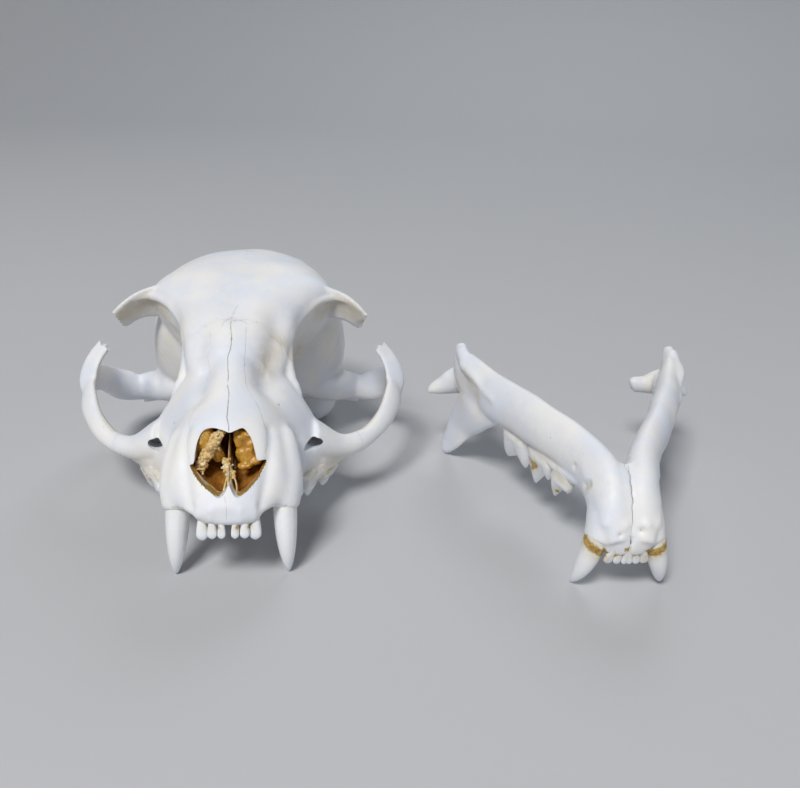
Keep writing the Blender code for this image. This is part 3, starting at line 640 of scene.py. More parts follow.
PAIRED_RELIEF = [
    ([(7.0, 10.6, 13.4), (7.1, 6.3, 9.4), (6.4, 3.4, 5.0), (5.6, 2.3, 2.6)], 1.1, -0.55),
    ([(11.6, 13.5, 12.5), (11.6, 11.0, 8.0), (11.4, 9.0, 3.5)], 2.0, 0.30),
    ([(13.3, 17.5, 10), (13.0, 15.5, 5.5), (12.8, 14.5, 2.5)], 1.9, -0.55),
    ([(18.5, 45.5, 32.2), (15.3, 42, 31.4), (13.2, 39.8, 29.7), (11.4, 36.6, 27.6), (10.7, 33, 25.2),
      (10.7, 29.6, 20.5), (11.3, 28.2, 17.6)], 0.9, 0.35),
    ([(12.6, 27.4, 14), (15.4, 26.8, 10.3), (18.2, 27.2, 8.7), (21.2, 28.2, 7.6), (24, 30.3, 7.4)],
     0.8, 0.25),
    ([(19.5, 49.5, 32.6), (17.0, 54, 35.6), (14.0, 60, 37.8), (10.5, 67, 37.6), (6.5, 75, 35),
      (3.0, 83, 30.2), (1.0, 87.5, 26)], 1.4, 0.14),
    ([(7.5, 44, 36), (8, 50, 38)], 5.0, 0.3),
    ([(22, 56, 12), (23, 62, 13.5), (22, 70, 14.5), (20.5, 76, 14)], 1.6, -0.5),
    ([(24, 66, 10.5), (22, 72, 11), (20, 77, 11)], 1.0, 0.5),
    ([(6.5, 89.5, 15)], 4.0, -0.5),
    ([(2.2, 5.2, 0.6), (2.3, 7.4, 0.6)], 0.75, -1.6, (0, 0, -1)),
    ([(5.6, 22.5, 0.5)], 0.55, -1.0, (0, 0, -1)),
    ([(9.6, 66, 0.5), (10.8, 72, -1.6), (11.6, 79, 0.4)], 0.8, -0.35, (0, 0, -1)),
    ([(9.8, 60.5, 4.6)], 0.9, -1.6),
    ([(7.8, 81.5, 2.8)], 1.0, -1.6),
    ([(6.0, 85.0, 3.0)], 0.6, -1.2),
    ([(7.5, 47, 14)], 1.1, -1.8),
    ([(8.6, 50, 12)], 1.2, -1.8),
    ([(5.0, 0.9, 1.2), (5.0, 1.6, 3.0)], 0.7, 0.2),
    ([(2.6, 0.2, 1.0), (2.6, 0.8, 2.6)], 0.6, 0.15),
]
reshaped(whole, FACE_RELIEF + PAIRED_RELIEF + other_side(PAIRED_RELIEF), 0.07, 9.0, 5)

# The nose opens to the front in two lobes over a narrower cleft. Its rim slopes back as it rises.
NOSE_OUTLINE = np.array([
    (0.37, 14.28), (-0.99, 14.67), (-2.69, 14.89), (-4.27, 14.31), (-5.13, 12.79), (-5.48, 11.1),
    (-5.66, 9.5), (-6.32, 8.96), (-5.58, 7.8), (-4.14, 6.4), (-2.55, 5.28), (-1.5, 4.55), (-0.66, 4.69),
    (0.0, 5.5), (0.45, 6.3), (1.0, 5.4), (1.56, 4.66), (2.24, 4.51), (3.25, 5.07), (4.25, 6.0), (5.26, 6.94),
    (5.92, 8.0), (6.7, 9.6), (5.25, 9.9), (4.86, 11.01), (4.34, 12.72), (3.65, 13.92), (2.64, 14.85),
    (1.41, 14.6),
])
NOSE_OUTLINE = smooth_rows(np.vstack([NOSE_OUTLINE[-2:], NOSE_OUTLINE, NOSE_OUTLINE[:3]]), 4)[8:-9]
NOSE_MIDDLE = np.array([0.1, 9.8])
NOSE_RIM_Z = [4.5, 9.3, 14.4]
NOSE_RIM_Y = [3.5, 6.9, 8.2]


def nose_rings(depths, scales, lifts):
    """The nose opening's outline as rings that run back: each is scaled about its middle and lifted.

    A ring leans as the rim does: y = rim(z) + depth, where the rim lies further back the higher it is.
    """
    rings = []
    for depth, scale, lift in zip(depths, scales, lifts):
        x, z = (NOSE_MIDDLE + (NOSE_OUTLINE - NOSE_MIDDLE) * scale).T
        y = np.interp(z, NOSE_RIM_Z, NOSE_RIM_Y) + depth
        rings.append(np.column_stack([x, y, z + lift]))
    return np.array(rings)


nose_air = closed_skin(nose_rings(
    (-7.0, 0.0, 0.3, 0.8, 2.0, 4.0, 9.0, 14.0, 18.0),
    (1.0, 1.0, 1.0, 1.06, 1.06, 1.05, 1.02, 0.92, 0.6),
    (0.0, 0.0, 0.0, -0.25, -0.35, -0.1, 2.2, 4.4, 6.0),
))
throat_air = vault([
    (26.0, 4.4, 9.0, 2.4, 5.6, 2.4, 2.6),
    (38.0, 5.0, 8.6, 2.0, 5.0, 2.4, 2.6),
    (44.0, 5.3, 8.4, -4.0, 4.0, 2.4, 4.0),
    (58.0, 5.2, 5.2, -4.0, 3.0, 2.4, 4.0),
])
spinal_hole = vault([
    (70.0, 4.0, 14.0, 7.0, 10.0, 2.0, 2.0),
    (80.0, 6.2, 16.0, 5.6, 10.0, 2.0, 2.2),
    (86.0, 6.2, 14.8, 4.4, 9.6, 2.0, 2.4),
    (96.0, 6.6, 15.2, 3.0, 9.4, 2.0, 2.4),
])
under_eye_canal = limb([
    (14.6, 18.5, 6.9, 1.0, 1.6),
    (15.0, 22.6, 7.3, 1.1, 1.7),
    (15.4, 25.4, 7.2, 1.5, 1.8),
    (16.0, 28.4, 6.6, 1.1, 1.5),
])
ear_hole = ball((21.6, 69.2, 6.4), (3.4, 2.2, 2.0))
vessel_hole = limb([(9.4, 18.2, 17.8, 0.26, 0.26), (8.0, 20.0, 14.8, 0.26, 0.26)], sides=12)
carved(whole, [nose_air, throat_air, spinal_hole, vessel_hole] + both(under_eye_canal, ear_hole))


def ragged_end(tip, along, across, through, width, teeth, seed):
    """A block with a saw-toothed face, to break the end of a spur.

    The face is a zigzag of seeded teeth across the spur; the block runs on beyond it and right through.
    """
    rng = np.random.default_rng(seed)
    axes = [np.asarray(way, float) / np.linalg.norm(way) for way in (along, across, through)]
    count = 2 * teeth + 1
    side_place = np.linspace(-width, width, count)
    cut = np.where(np.arange(count) % 2, -0.5, 0.1) * rng.uniform(0.5, 1.2, count)
    outline = np.concatenate([np.column_stack([cut, side_place]), [[4.0, width], [4.0, -width]]])
    rings = [np.asarray(tip) + outline[:, :1] * axes[0] + outline[:, 1:] * axes[1] + axes[2] * reach
             for reach in (-4.0, 4.0)]
    return closed_skin(np.array(rings))


brow_end = ragged_end((25.9, 44.6, 27.6), (1, -0.35, -0.5), (0.35, -0.75, 1), (0.3, 1, 0.6), 6.0, 10, 3)
cheek_end = ragged_end((29.1, 47.0, 21.3), (-0.5, 0.1, 1), (1, 0.2, 0.55), (0, 1, 0), 6.4, 8, 8)
carved(whole, both(brow_end, cheek_end))


def two_faced(front, back):
    """A sheet with two faces as one skin: its rings run out along the front and home along the back."""
    return closed_skin(np.concatenate([front, back[:, ::-1]], axis=1))


def parting_sheet(line, reach, along_x, zigzag, seed, gap=0.03, steps=81):
    """A paper-thin cut: a bent line carried along x, or along z, that zigzags a little, given its thickness.

    Along x the line holds y and z; along z it holds x and y.
    """
    line = np.asarray(line, float)
    wave = zigzag * np.random.default_rng(seed).uniform(-1, 1, steps)
    way = np.gradient(line, axis=0)
    across = np.column_stack([-way[:, 1], way[:, 0]]) / np.linalg.norm(way, axis=1, keepdims=True)
    layers = []
    for half in (gap / 2, -gap / 2):
        layer = np.broadcast_to(line + across * half, (steps, *line.shape)).copy()
        layer[:, :, 0] += wave[:, None]
        far = np.broadcast_to(np.linspace(*reach, steps)[:, None], layer.shape[:2])
        order = (far, layer[..., 0], layer[..., 1]) if along_x else (layer[..., 0], layer[..., 1], far)
        layers.append(np.stack(order, -1))
    return two_faced(*layers)


brow_seam = parting_sheet([(29.6, 60), (29.6, 40), (29.6, 12.4), (46, 12.4), (46, -20)], (-21, 21),
                          True, 0.35, 11)
cheek_seam_front = parting_sheet([(20.8, 34.6), (24.1, 29.7), (27.4, 24.8)], (-12, 24), False, 0.12, 12)
cheek_seam_back = parting_sheet([(27.5, 53.6), (33.7, 55.6), (40.0, 57.6)], (-12, 24), False, 0.15, 13)
carved(whole, [brow_seam] + both(cheek_seam_front, cheek_seam_back))


WELD = 0.004


def welded(points, faces):
    """A cut leaves needles where points nearly meet: points in one cell of a fine grid become one point.

    A triangle that loses a corner by it is dropped, and its neighbours close over it.
    """
    cells = np.round(points / WELD).astype(int)
    _, first, number = np.unique(cells, axis=0, return_index=True, return_inverse=True)
    faces = number.reshape(-1)[faces]
    whole_ones = (faces != np.roll(faces, 1, axis=1)).all(axis=1)
    return points[first], faces[whole_ones]


def loose_skins(piece):
    """The separate skins of a mesh, largest first, as pairs of points and triangles.

    Every point takes the lowest number among its neighbours, over and over, until each skin has one number.
    """
    points, _, faces = skin_of(piece)
    points, faces = welded(points, faces)
    label = np.arange(len(points))
    while True:
        low = label[faces].min(axis=1)
        new = label.copy()
        np.minimum.at(new, faces.ravel(), np.repeat(low, 3))
        new = new[new]
        if (new == label).all():
            break
        label = new
    skins = []
    for number in np.unique(label):
        own = label[faces[:, 0]] == number
        used = np.unique(faces[own])
        renumber = np.zeros(len(points), int)
        renumber[used] = np.arange(len(used))
        skins.append((points[used], renumber[faces[own]]))
    return sorted(skins, key=lambda skin: -len(skin[1]))


skins = loose_skins(whole)[:4]
skins.sort(key=lambda skin: abs(skin[0][:, 0].mean()))
face_skin, brain_skin = sorted(skins[:2], key=lambda skin: skin[0][:, 1].mean())
right_cheek_skin, left_cheek_skin = sorted(skins[2:], key=lambda skin: skin[0][:, 0].mean())


# The concavity feeds the painted shade in recesses and the painted highlight on ridges of the bone's
# material.
def feel_of(points, faces):
    """How concave the skin is at each point: its neighbours' mean height along its outward way, evened out.

    Also returns the outward ways, which are the sums of the normals of the triangles round each point.
    """
    a, b, c = (points[faces[:, k]] for k in range(3))
    normal = np.repeat(np.cross(b - a, c - a), 3, axis=0)
    ways = np.stack([np.bincount(faces.ravel(), normal[:, k], len(points)) for k in range(3)], -1)
    ways /= np.linalg.norm(ways, axis=1, keepdims=True) + 1e-12
    ends = np.vstack([faces[:, [0, 1]], faces[:, [1, 2]], faces[:, [2, 0]]])
    gap = points[ends[:, 1]] - points[ends[:, 0]]
    lift = (gap * ways[ends[:, 0]]).sum(axis=1) / (np.linalg.norm(gap, axis=1) + 1e-9)
    share = np.bincount(ends[:, 0], minlength=len(points)) + 1e-9
    curve_shade_and_highlight = np.bincount(ends[:, 0], lift, len(points)) / share
    for _ in range(3):
        curve_shade_and_highlight = (curve_shade_and_highlight + np.bincount(ends[:, 0], curve_shade_and_highlight[ends[:, 1]], len(points)) / share) / 2
    return np.clip(curve_shade_and_highlight * 3, -1, 1), ways


def marked_amount(points, ways, stain_and_shade_marks):
    """How strongly each point is marked: the largest of all marks' strength * bell, for staining and painted
    shade.
    """
    amount = np.zeros(len(points))
    for path, radius, strength, *facing in stain_and_shade_marks:
        which, share = bell(points, ways, path, radius, facing, 2.4, 1.5, 0.2)
        amount[which] = np.maximum(amount[which], strength * share)
    return amount


SEAM_STEP = 0.45
SEAM_REACH = 1.6
SEAM_SEED = 40
NO_SEAM = (9.0, 9.0, 0.0)


def seam_field(points, ways, seams):
    """For each point: its signed distance across the nearest seam, its plain distance, and the seam's depth.

    The sign comes from the way across, surface normal x seam, and lets the shader draw a line finer than the
    grid. Past SEAM_REACH a point has NO_SEAM.
    """
    field = np.tile(NO_SEAM, (len(points), 1))
    for number, (path, strength, wander) in enumerate(seams):
        drawn = laid_path(points, path, SEAM_STEP, wander, number + SEAM_SEED)
        which, gap, place, way = near_path(points, drawn, SEAM_REACH)
        across = np.cross(ways[which], way)
        signed = ((points[which] - place) * across).sum(axis=1) / (np.linalg.norm(across, axis=1) + 1e-9)
        closer = gap < field[which, 1]
        field[which[closer]] = np.column_stack([signed, gap, np.full(len(gap), strength)])[closer]
    return field


def laid_down(points, place, turns):
    """Local millimetres, turned and moved, to metres. A point below the table's top is raised to it."""
    laid = (points @ turned_by(turns).T + np.asarray(place)) * MILLIMETRE
    return np.maximum(laid, (-np.inf, -np.inf, 0.0))


def painted(piece, label, values):
    """Lay a number, or three, on each point of a mesh, for its material to read."""
    kind, field = ("FLOAT", "value") if values.ndim == 1 else ("FLOAT_VECTOR", "vector")
    piece.data.attributes.new(label, kind, "POINT").data.foreach_set(field, values.astype(np.float32).ravel())


def smoothed(piece, sharp):
    """Shade a mesh smooth, apart from the edges that bend by more than so many degrees."""
    piece.data.shade_smooth()
    piece.data.set_sharp_from_angle(angle=math.radians(sharp))


def bone_piece(name, node, skin, place, turns, marks, seams):
    """A bone as a finished object in its node's place, its staining, painted shade, seams and curvature laid
    on its points.
    """
    points, faces = skin
    curve_shade_and_highlight, ways = feel_of(points, faces)
    piece = numpy_mesh(name, laid_down(points, place, turns), [faces])
    stain_and_shade_marks = [marked_amount(points, ways, marks[kind]) for kind in ("ochre", "painted_warm_shade", "painted_cool_shade")]
    painted(piece, "marks", np.column_stack(stain_and_shade_marks))
    painted(piece, "seam", seam_field(points, ways, seams))
    painted(piece, "curve_shade_and_highlight", curve_shade_and_highlight)
    smoothed(piece, 38)
    piece.data.materials.append(bone)
    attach(piece, "root")
    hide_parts(node)


def wire(tree, kind, settings=None, **links):
    """A shader node with its settings, and its sockets set to a value or joined to another node's output."""
    made = tree.nodes.new("ShaderNode" + kind)
    for key, value in (settings or {}).items():
        setattr(made, key, value)
    for key, value in links.items():
        socket = made.inputs[int(key[1:])] if key[1:].isdigit() else made.inputs[key.replace("_", " ")]
        if isinstance(value, bpy.types.NodeSocket):
            tree.links.new(value, socket)
        else:
            socket.default_value = value
    return made


def spread(tree, value, low, high):
    """The value smoothly taken from 0 at low to 1 at high."""
    kind = {"interpolation_type": "SMOOTHSTEP"}
    return wire(tree, "MapRange", kind, Value=value, From_Min=low, From_Max=high).outputs["Result"]


def reckon(tree, operation, *values):
    """One step of arithmetic on the values; MULTIPLY_ADD is first * second + third."""
    sockets = {f"_{k}": value for k, value in enumerate(values)}
    return wire(tree, "Math", {"operation": operation}, **sockets).outputs[0]


def times(tree, first, second):
    """First * second."""
    return reckon(tree, "MULTIPLY", first, second)


def over(tree, under, colour, amount):
    """A colour laid over another by an amount."""
    return wire(tree, "Mix", {"data_type": "RGBA"}, _0=amount, _6=under, _7=colour).outputs[2]


def grain(tree, place, size, detail=3.0, rough=0.55):
    """Noise whose blobs are about so many millimetres."""
    made = wire(tree, "TexNoise", None, Vector=place, Scale=1000.0 / size, Detail=detail, Roughness=rough)
    return made.outputs["Fac"]


def stain_of(tree, amount, noise):
    """A stain with a ragged edge: amount + 1.3 * (noise - 0.5), smoothly taken from 0 at 0.3 to 1 at 0.7."""
    ragged = wire(tree, "Math", {"operation": "MULTIPLY_ADD"}, _0=noise, _1=1.3, _2=amount).outputs[0]
    return times(tree, spread(tree, ragged, 0.95, 1.35), spread(tree, amount, 0.05, 0.5))


def painted_on(tree, label):
    """The three parts of what was laid on a piece's points under a label."""
    row = wire(tree, "Attribute", {"attribute_name": label}).outputs["Vector"]
    return wire(tree, "SeparateXYZ", None, Vector=row).outputs


def new_material(name):
    """A material of nodes: itself, its tree, its shader, and the place on the piece, in metres."""
    material = bpy.data.materials.new(name)
    material.use_nodes = True
    tree = material.node_tree
    return material, tree, tree.nodes["Principled BSDF"], wire(tree, "TexCoord").outputs["Object"]


def finish_surface(tree, surface, colour, gloss, height, bump, glow):
    """Join colour, roughness and bump to the shader, and set how light spreads under the surface.

    Bump is a strength and a depth; glow is a share, how far each colour goes, and the scale of that.
    """
    tree.links.new(colour, surface.inputs["Base Color"])
    tree.links.new(gloss, surface.inputs["Roughness"])
    raised = wire(tree, "Bump", None, Height=height, Strength=bump[0], Distance=bump[1]).outputs["Normal"]
    tree.links.new(raised, surface.inputs["Normal"])
    for socket, value in zip(("Subsurface Weight", "Subsurface Radius", "Subsurface Scale"), glow):
        surface.inputs[socket].default_value = value


def bone_material():
    """Bleached bone: bluish white, warmer clouds, marked staining, fine pores, hairline seams, painted shade
    and highlight.
    """
    material, tree, surface, place = new_material("bleached_bone")
    marks = painted_on(tree, "marks")
    seam = painted_on(tree, "seam")
    curve_shade_and_highlight = wire(tree, "Attribute", {"attribute_name": "curve_shade_and_highlight"}).outputs["Fac"]
    clouds = grain(tree, place, 9.0)
    streaks = grain(tree, place, 2.2, 4.0)
    pores = grain(tree, place, 0.55, 3.0, 0.6)
    colour = over(tree, (0.76, 0.79, 0.86, 1), (0.84, 0.835, 0.83, 1), spread(tree, clouds, 0.38, 0.66))
    # Painted shade: a blue-grey laid in streaks where the marks ask for it, standing in for shade.
    painted_cool_shade = times(tree, marks["Z"], spread(tree, streaks, 0.2, 0.8))
    colour = over(tree, colour, (0.64, 0.68, 0.78, 1), painted_cool_shade)
    # Painted shade: a warm grey-brown laid in streaks where the marks ask for it, standing in for shade.
    painted_warm_shade = times(tree, marks["Y"], spread(tree, streaks, -0.3, 0.75))
    colour = over(tree, colour, (0.62, 0.56, 0.45, 1), painted_warm_shade)
    # Painted shade in concave places and painted highlight on convex ridges, both from the curvature laid on
    # the points.
    colour = over(tree, colour, (0.50, 0.47, 0.44, 1), times(tree, spread(tree, curve_shade_and_highlight, 0.12, 0.75), 0.55))
    colour = over(tree, colour, (0.86, 0.87, 0.89, 1), times(tree, spread(tree, curve_shade_and_highlight, -0.2, -0.8), 0.35))
    ochre = stain_of(tree, marks["X"], grain(tree, place, 0.9, 4.0, 0.65))
    colour = over(tree, colour, (0.38, 0.25, 0.06, 1), ochre)
    speck = wire(tree, "TexVoronoi", None, Vector=place, Scale=430.0)
    chance = wire(tree, "SeparateColor", None, Color=speck.outputs["Color"]).outputs["Red"]
    rare = reckon(tree, "GREATER_THAN", chance, 0.72)
    pit = times(tree, spread(tree, speck.outputs["Distance"], 0.085, 0.03), rare)
    # Painted shade: the rare pits are sunk only by the bump, so a grey colour stands in for the shade inside
    # them.
    colour = over(tree, colour, (0.40, 0.36, 0.33, 1), times(tree, pit, 0.6))
    apart = reckon(tree, "ABSOLUTE", seam["X"])
    wobble = reckon(tree, "MULTIPLY_ADD", grain(tree, place, 0.7), 0.12, apart)
    line = times(tree, spread(tree, wobble, 0.17, 0.075), spread(tree, seam["Y"], 0.9, 0.5))
    line = times(tree, times(tree, line, seam["Z"]), spread(tree, streaks, 0.25, 0.5))
    colour = over(tree, colour, (0.33, 0.29, 0.22, 1), line)
    gloss = wire(tree, "MapRange", None, Value=streaks, To_Min=0.42, To_Max=0.62).outputs["Result"]
    height = reckon(tree, "MULTIPLY_ADD", pores, 0.35, streaks)
    height = reckon(tree, "SUBTRACT", height, times(tree, pit, 1.2))
    height = reckon(tree, "SUBTRACT", height, times(tree, line, 1.5))
    finish_surface(tree, surface, colour, gloss, height, (0.35, 0.00016), (0.18, (1.0, 0.85, 0.7), 0.0012))
    surface.inputs["Specular IOR Level"].default_value = 0.42
    return material


bone = bone_material()
CRANIUM_MARKS = {
    "ochre": [
        ([(-0.9, 28.0, 29.2), (-0.7, 25.0, 26.8)], 0.35, 0.45),
        ([(-0.4, 31.4, 31.3), (-1.4, 29.5, 30.0)], 0.6, 0.3),
        ([(-11.0, 19.0, 12.4)], 0.6, 0.5),
        ([(5.2, 23.2, 23.4)], 0.8, 0.3),
        ([(9.9, 5.0, 1.2), (7.9, 3.4, 1.6)], 0.7, 0.35),
        ([(-11.2, 6.2, 1.0), (-8.8, 3.9, 1.4), (-6.1, 2.2, 2.0)], 0.7, 0.35),
        ([(-6.2, 5.4, 8.6), (-4.1, 3.6, 6.3), (-2.0, 2.9, 4.9)], 1.5, 1.3, (0.7, 0.5, 0.5)),
        ([(6.6, 5.8, 9.2), (4.3, 3.7, 6.0), (2.2, 2.8, 4.5)], 1.5, 1.3, (-0.7, 0.5, 0.5)),
    ],
    # Painted warm shade: beside the nose, inside the orbits, under the brows, inside the cheek arches, by the
    # cheek teeth and on the undersides.
    "painted_warm_shade": [
        ([(8.4, 28.6, 27.2), (7.6, 22.5, 22.4)], 2.6, 0.75),
        ([(11.2, 42.9, 21.5), (11.2, 42.0, 15.0)], 4.5, 1.0, (1, -0.4, 0)),
        *two_sided(
            ([(16.5, 44.5, 29.5), (20.5, 44.5, 29.5), (24.5, 43.5, 28.5)], 3.6, 0.95, (0.1, -0.8, -0.7)),
            ([(31.0, 46.0, 18), (32.0, 43.5, 12.5), (29.5, 37.5, 9), (25, 31.5, 7)], 3.8, 0.75,
             (-1, 0.3, 0.1)),
            ([(18, 28, 3), (15, 20, 2)], 3.0, 0.6)),
        ([(11.5, 38, 22), (13.5, 44, 22), (17, 50, 22)], 8.0, 0.55, (1, -0.6, 0)),
        ([(-11.5, 38, 22), (-13.5, 44, 22), (-17, 50, 22)], 8.0, 0.45, (-1, -0.6, 0)),
        ([(0, 10, 0), (0, 30, 0)], 9.0, 0.45, (0, 0, -1)),
        ([(0, 86, 8), (0, 70, 3)], 10.0, 0.4, (0, 0.5, -1)),
    ],
    # Painted bluish shade: on the forehead, in the dips beside the nose, on the temples and by the canine's
    # ridge.
    "painted_cool_shade": [
        ([(-4.5, 34.0, 32.6)], 2.8, 0.55),
        ([(-2.9, 38.3, 35.0)], 3.4, 0.5),
        ([(10.2, 35.0, 30.8)], 3.0, 0.5),
        ([(6.4, 26.0, 25.5), (6.2, 20.0, 20.3)], 2.8, 0.8),
        ([(-6.5, 25.5, 25.3), (-6.3, 19.0, 19.6)], 2.4, 0.6),
        ([(12.0, 62.0, 37.0)], 6.0, 0.45),
        ([(-9.0, 60.0, 38.5)], 5.0, 0.35),
        ([(14.5, 50.0, 34.0)], 4.0, 0.4),
        ([(-14.5, 50.0, 34.0)], 4.0, 0.3),
        ([(12.5, 12.0, 8.0)], 2.5, 0.35),
    ],
}
CRANIUM_SEAMS = [
    ([(-0.9, 29.0, 29.8), (-0.7, 24.8, 26.7), (-0.8, 21.5, 23.9), (-0.6, 17.2, 21.2), (-0.2, 13.1, 18.5),
      (-0.3, 10.2, 16.6), (0.2, 8.0, 14.9)], 1.0, 0.03),
    ([(2.0, 27.5, 28.2), (2.3, 18.9, 21.7), (3.4, 15.4, 18.8), (4.9, 13.4, 16.5), (6.1, 10.0, 13.8),
      (6.8, 7.0, 11.1)], 0.45, 0.05),
    ([(-4.6, 26.9, 27.6), (-5.0, 24.9, 25.7), (-5.6, 20.6, 20.3), (-5.9, 16.7, 17.5), (-6.6, 12.9, 14.9),
      (-7.2, 9.0, 12.4), (-6.7, 6.1, 10.1)], 0.28, 0.05),
    ([(-2.6, 28.3, 29.3), (-0.9, 30.2, 30.6), (1.6, 29.0, 29.6)], 0.4, 0.10),
    ([(-0.9, 30.0, 30.6), (-0.3, 33.0, 32.4)], 0.45, 0.08),
    ([(-0.2, 5.7, 2.9), (0.1, 2.4, 3.4), (0.2, 0.6, 1.6)], 0.4, 0.03),
    ([(9.2, 29.5, 27.0), (9.2, 28.2, 25.4), (9.6, 27.4, 23.0)], 0.35, 0.04),
    *two_sided(([(0, 56, 40), (7, 55.5, 39), (13, 53.5, 36.6), (18, 51, 32)], 0.22, 0.22)),
    ([(0, 56, 40.3), (0, 66, 39.8), (0, 76, 36)], 0.25, 0.22),
    *two_sided(([(0, 76, 36), (6, 78, 33.5), (12, 81, 29), (16.5, 82, 22)], 0.3, 0.18),
               ([(19, 50, 16), (21.5, 57, 22), (21.8, 65, 23), (20.2, 73, 20), (18.6, 79, 14)], 0.4, 0.10)),
    ([(0, 6, 0.4), (0, 18, 0.2), (0, 34, 0.6)], 0.6, 0.05),
    *two_sided(([(0, 24, 0.2), (6, 22, 0.2), (11, 24, 0.2)], 0.4, 0.12)),
    ([(8, 72, 2.4), (0, 71, 3.0), (-8, 72, 2.4)], 0.4, 0.06),
]
for name, node, skin in (
        ("face_bone", "facial_skeleton", face_skin),
        ("braincase_bone", "neurocranium", brain_skin),
        ("cheek_bone_left", "jugal_left", left_cheek_skin),
        ("cheek_bone_right", "jugal_right", right_cheek_skin)):
    bone_piece(name, node, skin, CRANIUM_PLACE, CRANIUM_TURNS, CRANIUM_MARKS, CRANIUM_SEAMS)


# ---- upper teeth ------------------------------------------------------------------------------------
# Teeth are enamel over ivory, each in its own socket: two long curved canines that carry the upright
# cranium, six small front teeth between them, and blades and pegs along each cheek.


def bezier(points, share):
    """A Bezier curve through its first and last point, drawn toward those between."""
    points = np.asarray(points, float)
    order = len(points) - 1
    weights = [math.comb(order, k) * share**k * (1 - share) ** (order - k) for k in range(order + 1)]
    return np.stack(weights, -1) @ points


def fang(root, gum, bow, tip, deep, wide, rows=56, sides=48):
    """A curved cone: radii * (1 - t^2)^0.7 along a Bezier from gum to tip, a plain oval down in the socket.

    Faint grooves run along it: the radius is less by a fine cosine of the turn that fades toward the tip.
    """
    share = np.linspace(0, 1, rows) ** 0.85
    crown = bezier([gum, bow, tip], share)
    below = np.linspace(0, 1, 10, endpoint=False)[:, None]
    places = np.vstack([np.asarray(root) * (1 - below) + np.asarray(gum) * below, crown])
    taper = np.concatenate([0.82 + 0.18 * below[:, 0], np.maximum(1 - share**2, 0.0004) ** 0.7])
    ways = np.gradient(places, axis=0)
    ways /= np.linalg.norm(ways, axis=1, keepdims=True)
    across = np.cross(ways, (0, 1, 0))
    across /= np.linalg.norm(across, axis=1, keepdims=True)
    forth = np.cross(across, ways)
    turn = np.linspace(0, 2 * math.pi, sides, endpoint=False)[None]
    groove = 1 - 0.012 * (np.cos(6 * turn) ** 8) * (taper**1.5)[:, None]
    size = taper[:, None] * groove
    rings = places[:, None] + across[:, None] * (wide * size * np.cos(turn))[..., None]
    rings = rings + forth[:, None] * (deep * size * np.sin(turn))[..., None]
    rise = np.repeat(np.concatenate([np.linspace(-0.3, 0, 10, endpoint=False), share]), sides)
    return closed_skin(rings), np.append(rise, [-0.3, 1.0])


def front_tooth(gum, edge, deep, wide, lean=0.0, rows=22, sides=28):
    """A small spade: a narrow neck, a wider crown with a rounded square outline, and a thin worn edge.

    Half width = wide * (0.62 + 0.38 * sin(2.2 t)), half depth = deep * (1 - 0.62 t); both close at the edge.
    """
    gum, edge = np.asarray(gum, float), np.asarray(edge, float)
    share = np.linspace(-0.55, 1, rows)
    back = lean * np.maximum(share, 0) ** 2
    places = gum + (edge - gum) * share[:, None] + np.array([0, 1, 0]) * back[:, None]
    t = np.clip(share, 0, 1)
    close = np.sqrt(np.clip(1 - (np.maximum(t - 0.74, 0) / 0.26) ** 2, 0.02, 1))
    half_wide = wide * (0.62 + 0.38 * np.sin(2.2 * t)) * close
    half_deep = deep * (1 - 0.62 * t) * close
    turn = np.linspace(0, 2 * math.pi, sides, endpoint=False)
    across, forth = bent_sine(turn + math.pi / 2, 2.8), bent_sine(turn, 2.4)
    ways = (edge - gum) / np.linalg.norm(edge - gum)
    side = np.cross(ways, (0, 1, 0))
    side /= np.linalg.norm(side)
    front = np.cross(side, ways)
    rings = places[:, None] + side * (half_wide[:, None] * across)[..., None]
    rings = rings + front * (half_deep[:, None] * forth)[..., None]
    return closed_skin(rings), np.append(np.repeat(share, sides), [-0.55, 1.0])


def cheek_tooth(front, back, gum, width, cusps, way, root=2.2, rows=64, sides=36):
    """A blade with pointed cusps, as upright sections from its front to its back.

    Its edge stands at the highest of the cusps' tents, height - slope * distance. A section is a wedge:
    half width = width / 2 * sqrt(1 - (2 s - 1)^4) * (1 - h^1.9)^0.75 * swell, h the share of its height.
    """
    front, back = np.asarray(front, float), np.asarray(back, float)
    share = 0.5 - 0.5 * np.cos(np.linspace(0, math.pi, rows))
    length = np.linalg.norm(back - front)
    middle, height, slope = np.asarray(cusps, float).T
    tents = height - slope * np.abs(share[:, None] - middle) * length
    tents = tents - 0.25 * np.exp(-(np.abs(share[:, None] - middle) * length / 0.35) ** 2)
    crest = np.maximum(tents.max(axis=1), 0.5) * np.clip(1 - (2 * share - 1) ** 12, 0.2, 1)
    half = width / 2 * np.sqrt(np.clip(1 - (2 * share - 1) ** 4, 0.01, 1))
    turn = np.linspace(0, 2 * math.pi, sides, endpoint=False)
    up = (1 + np.sin(turn)) / 2
    level = -root + (crest[:, None] + root) * up**0.9
    over_gum = np.clip(level / crest[:, None], 0, 1)
    swelling = 1 + 0.10 * np.exp(-((level - 0.5) / 0.6) ** 2) - 0.12 * np.clip(-level / root, 0, 1)
    wedge = half[:, None] * np.clip(1 - over_gum**1.9, 0, 1) ** 0.75 * swelling
    wedge = wedge * np.clip(np.abs(np.cos(turn)) * 3.5, 0, 1) ** 0.6 * np.sign(np.cos(turn))
    side = np.array([(back - front)[1], -(back - front)[0]]) / length
    plan = front + (back - front) * share[:, None]
    rings = np.stack([plan[:, :1] + side[0] * wedge, plan[:, 1:2] + side[1] * wedge, gum + way * level], -1)
    rise = (level / height.max()).ravel()
    return closed_skin(rings), np.append(rise, [0.1, 0.1])


HAZE_WIDTH = 2.4
HAZE_STRENGTH = 0.9


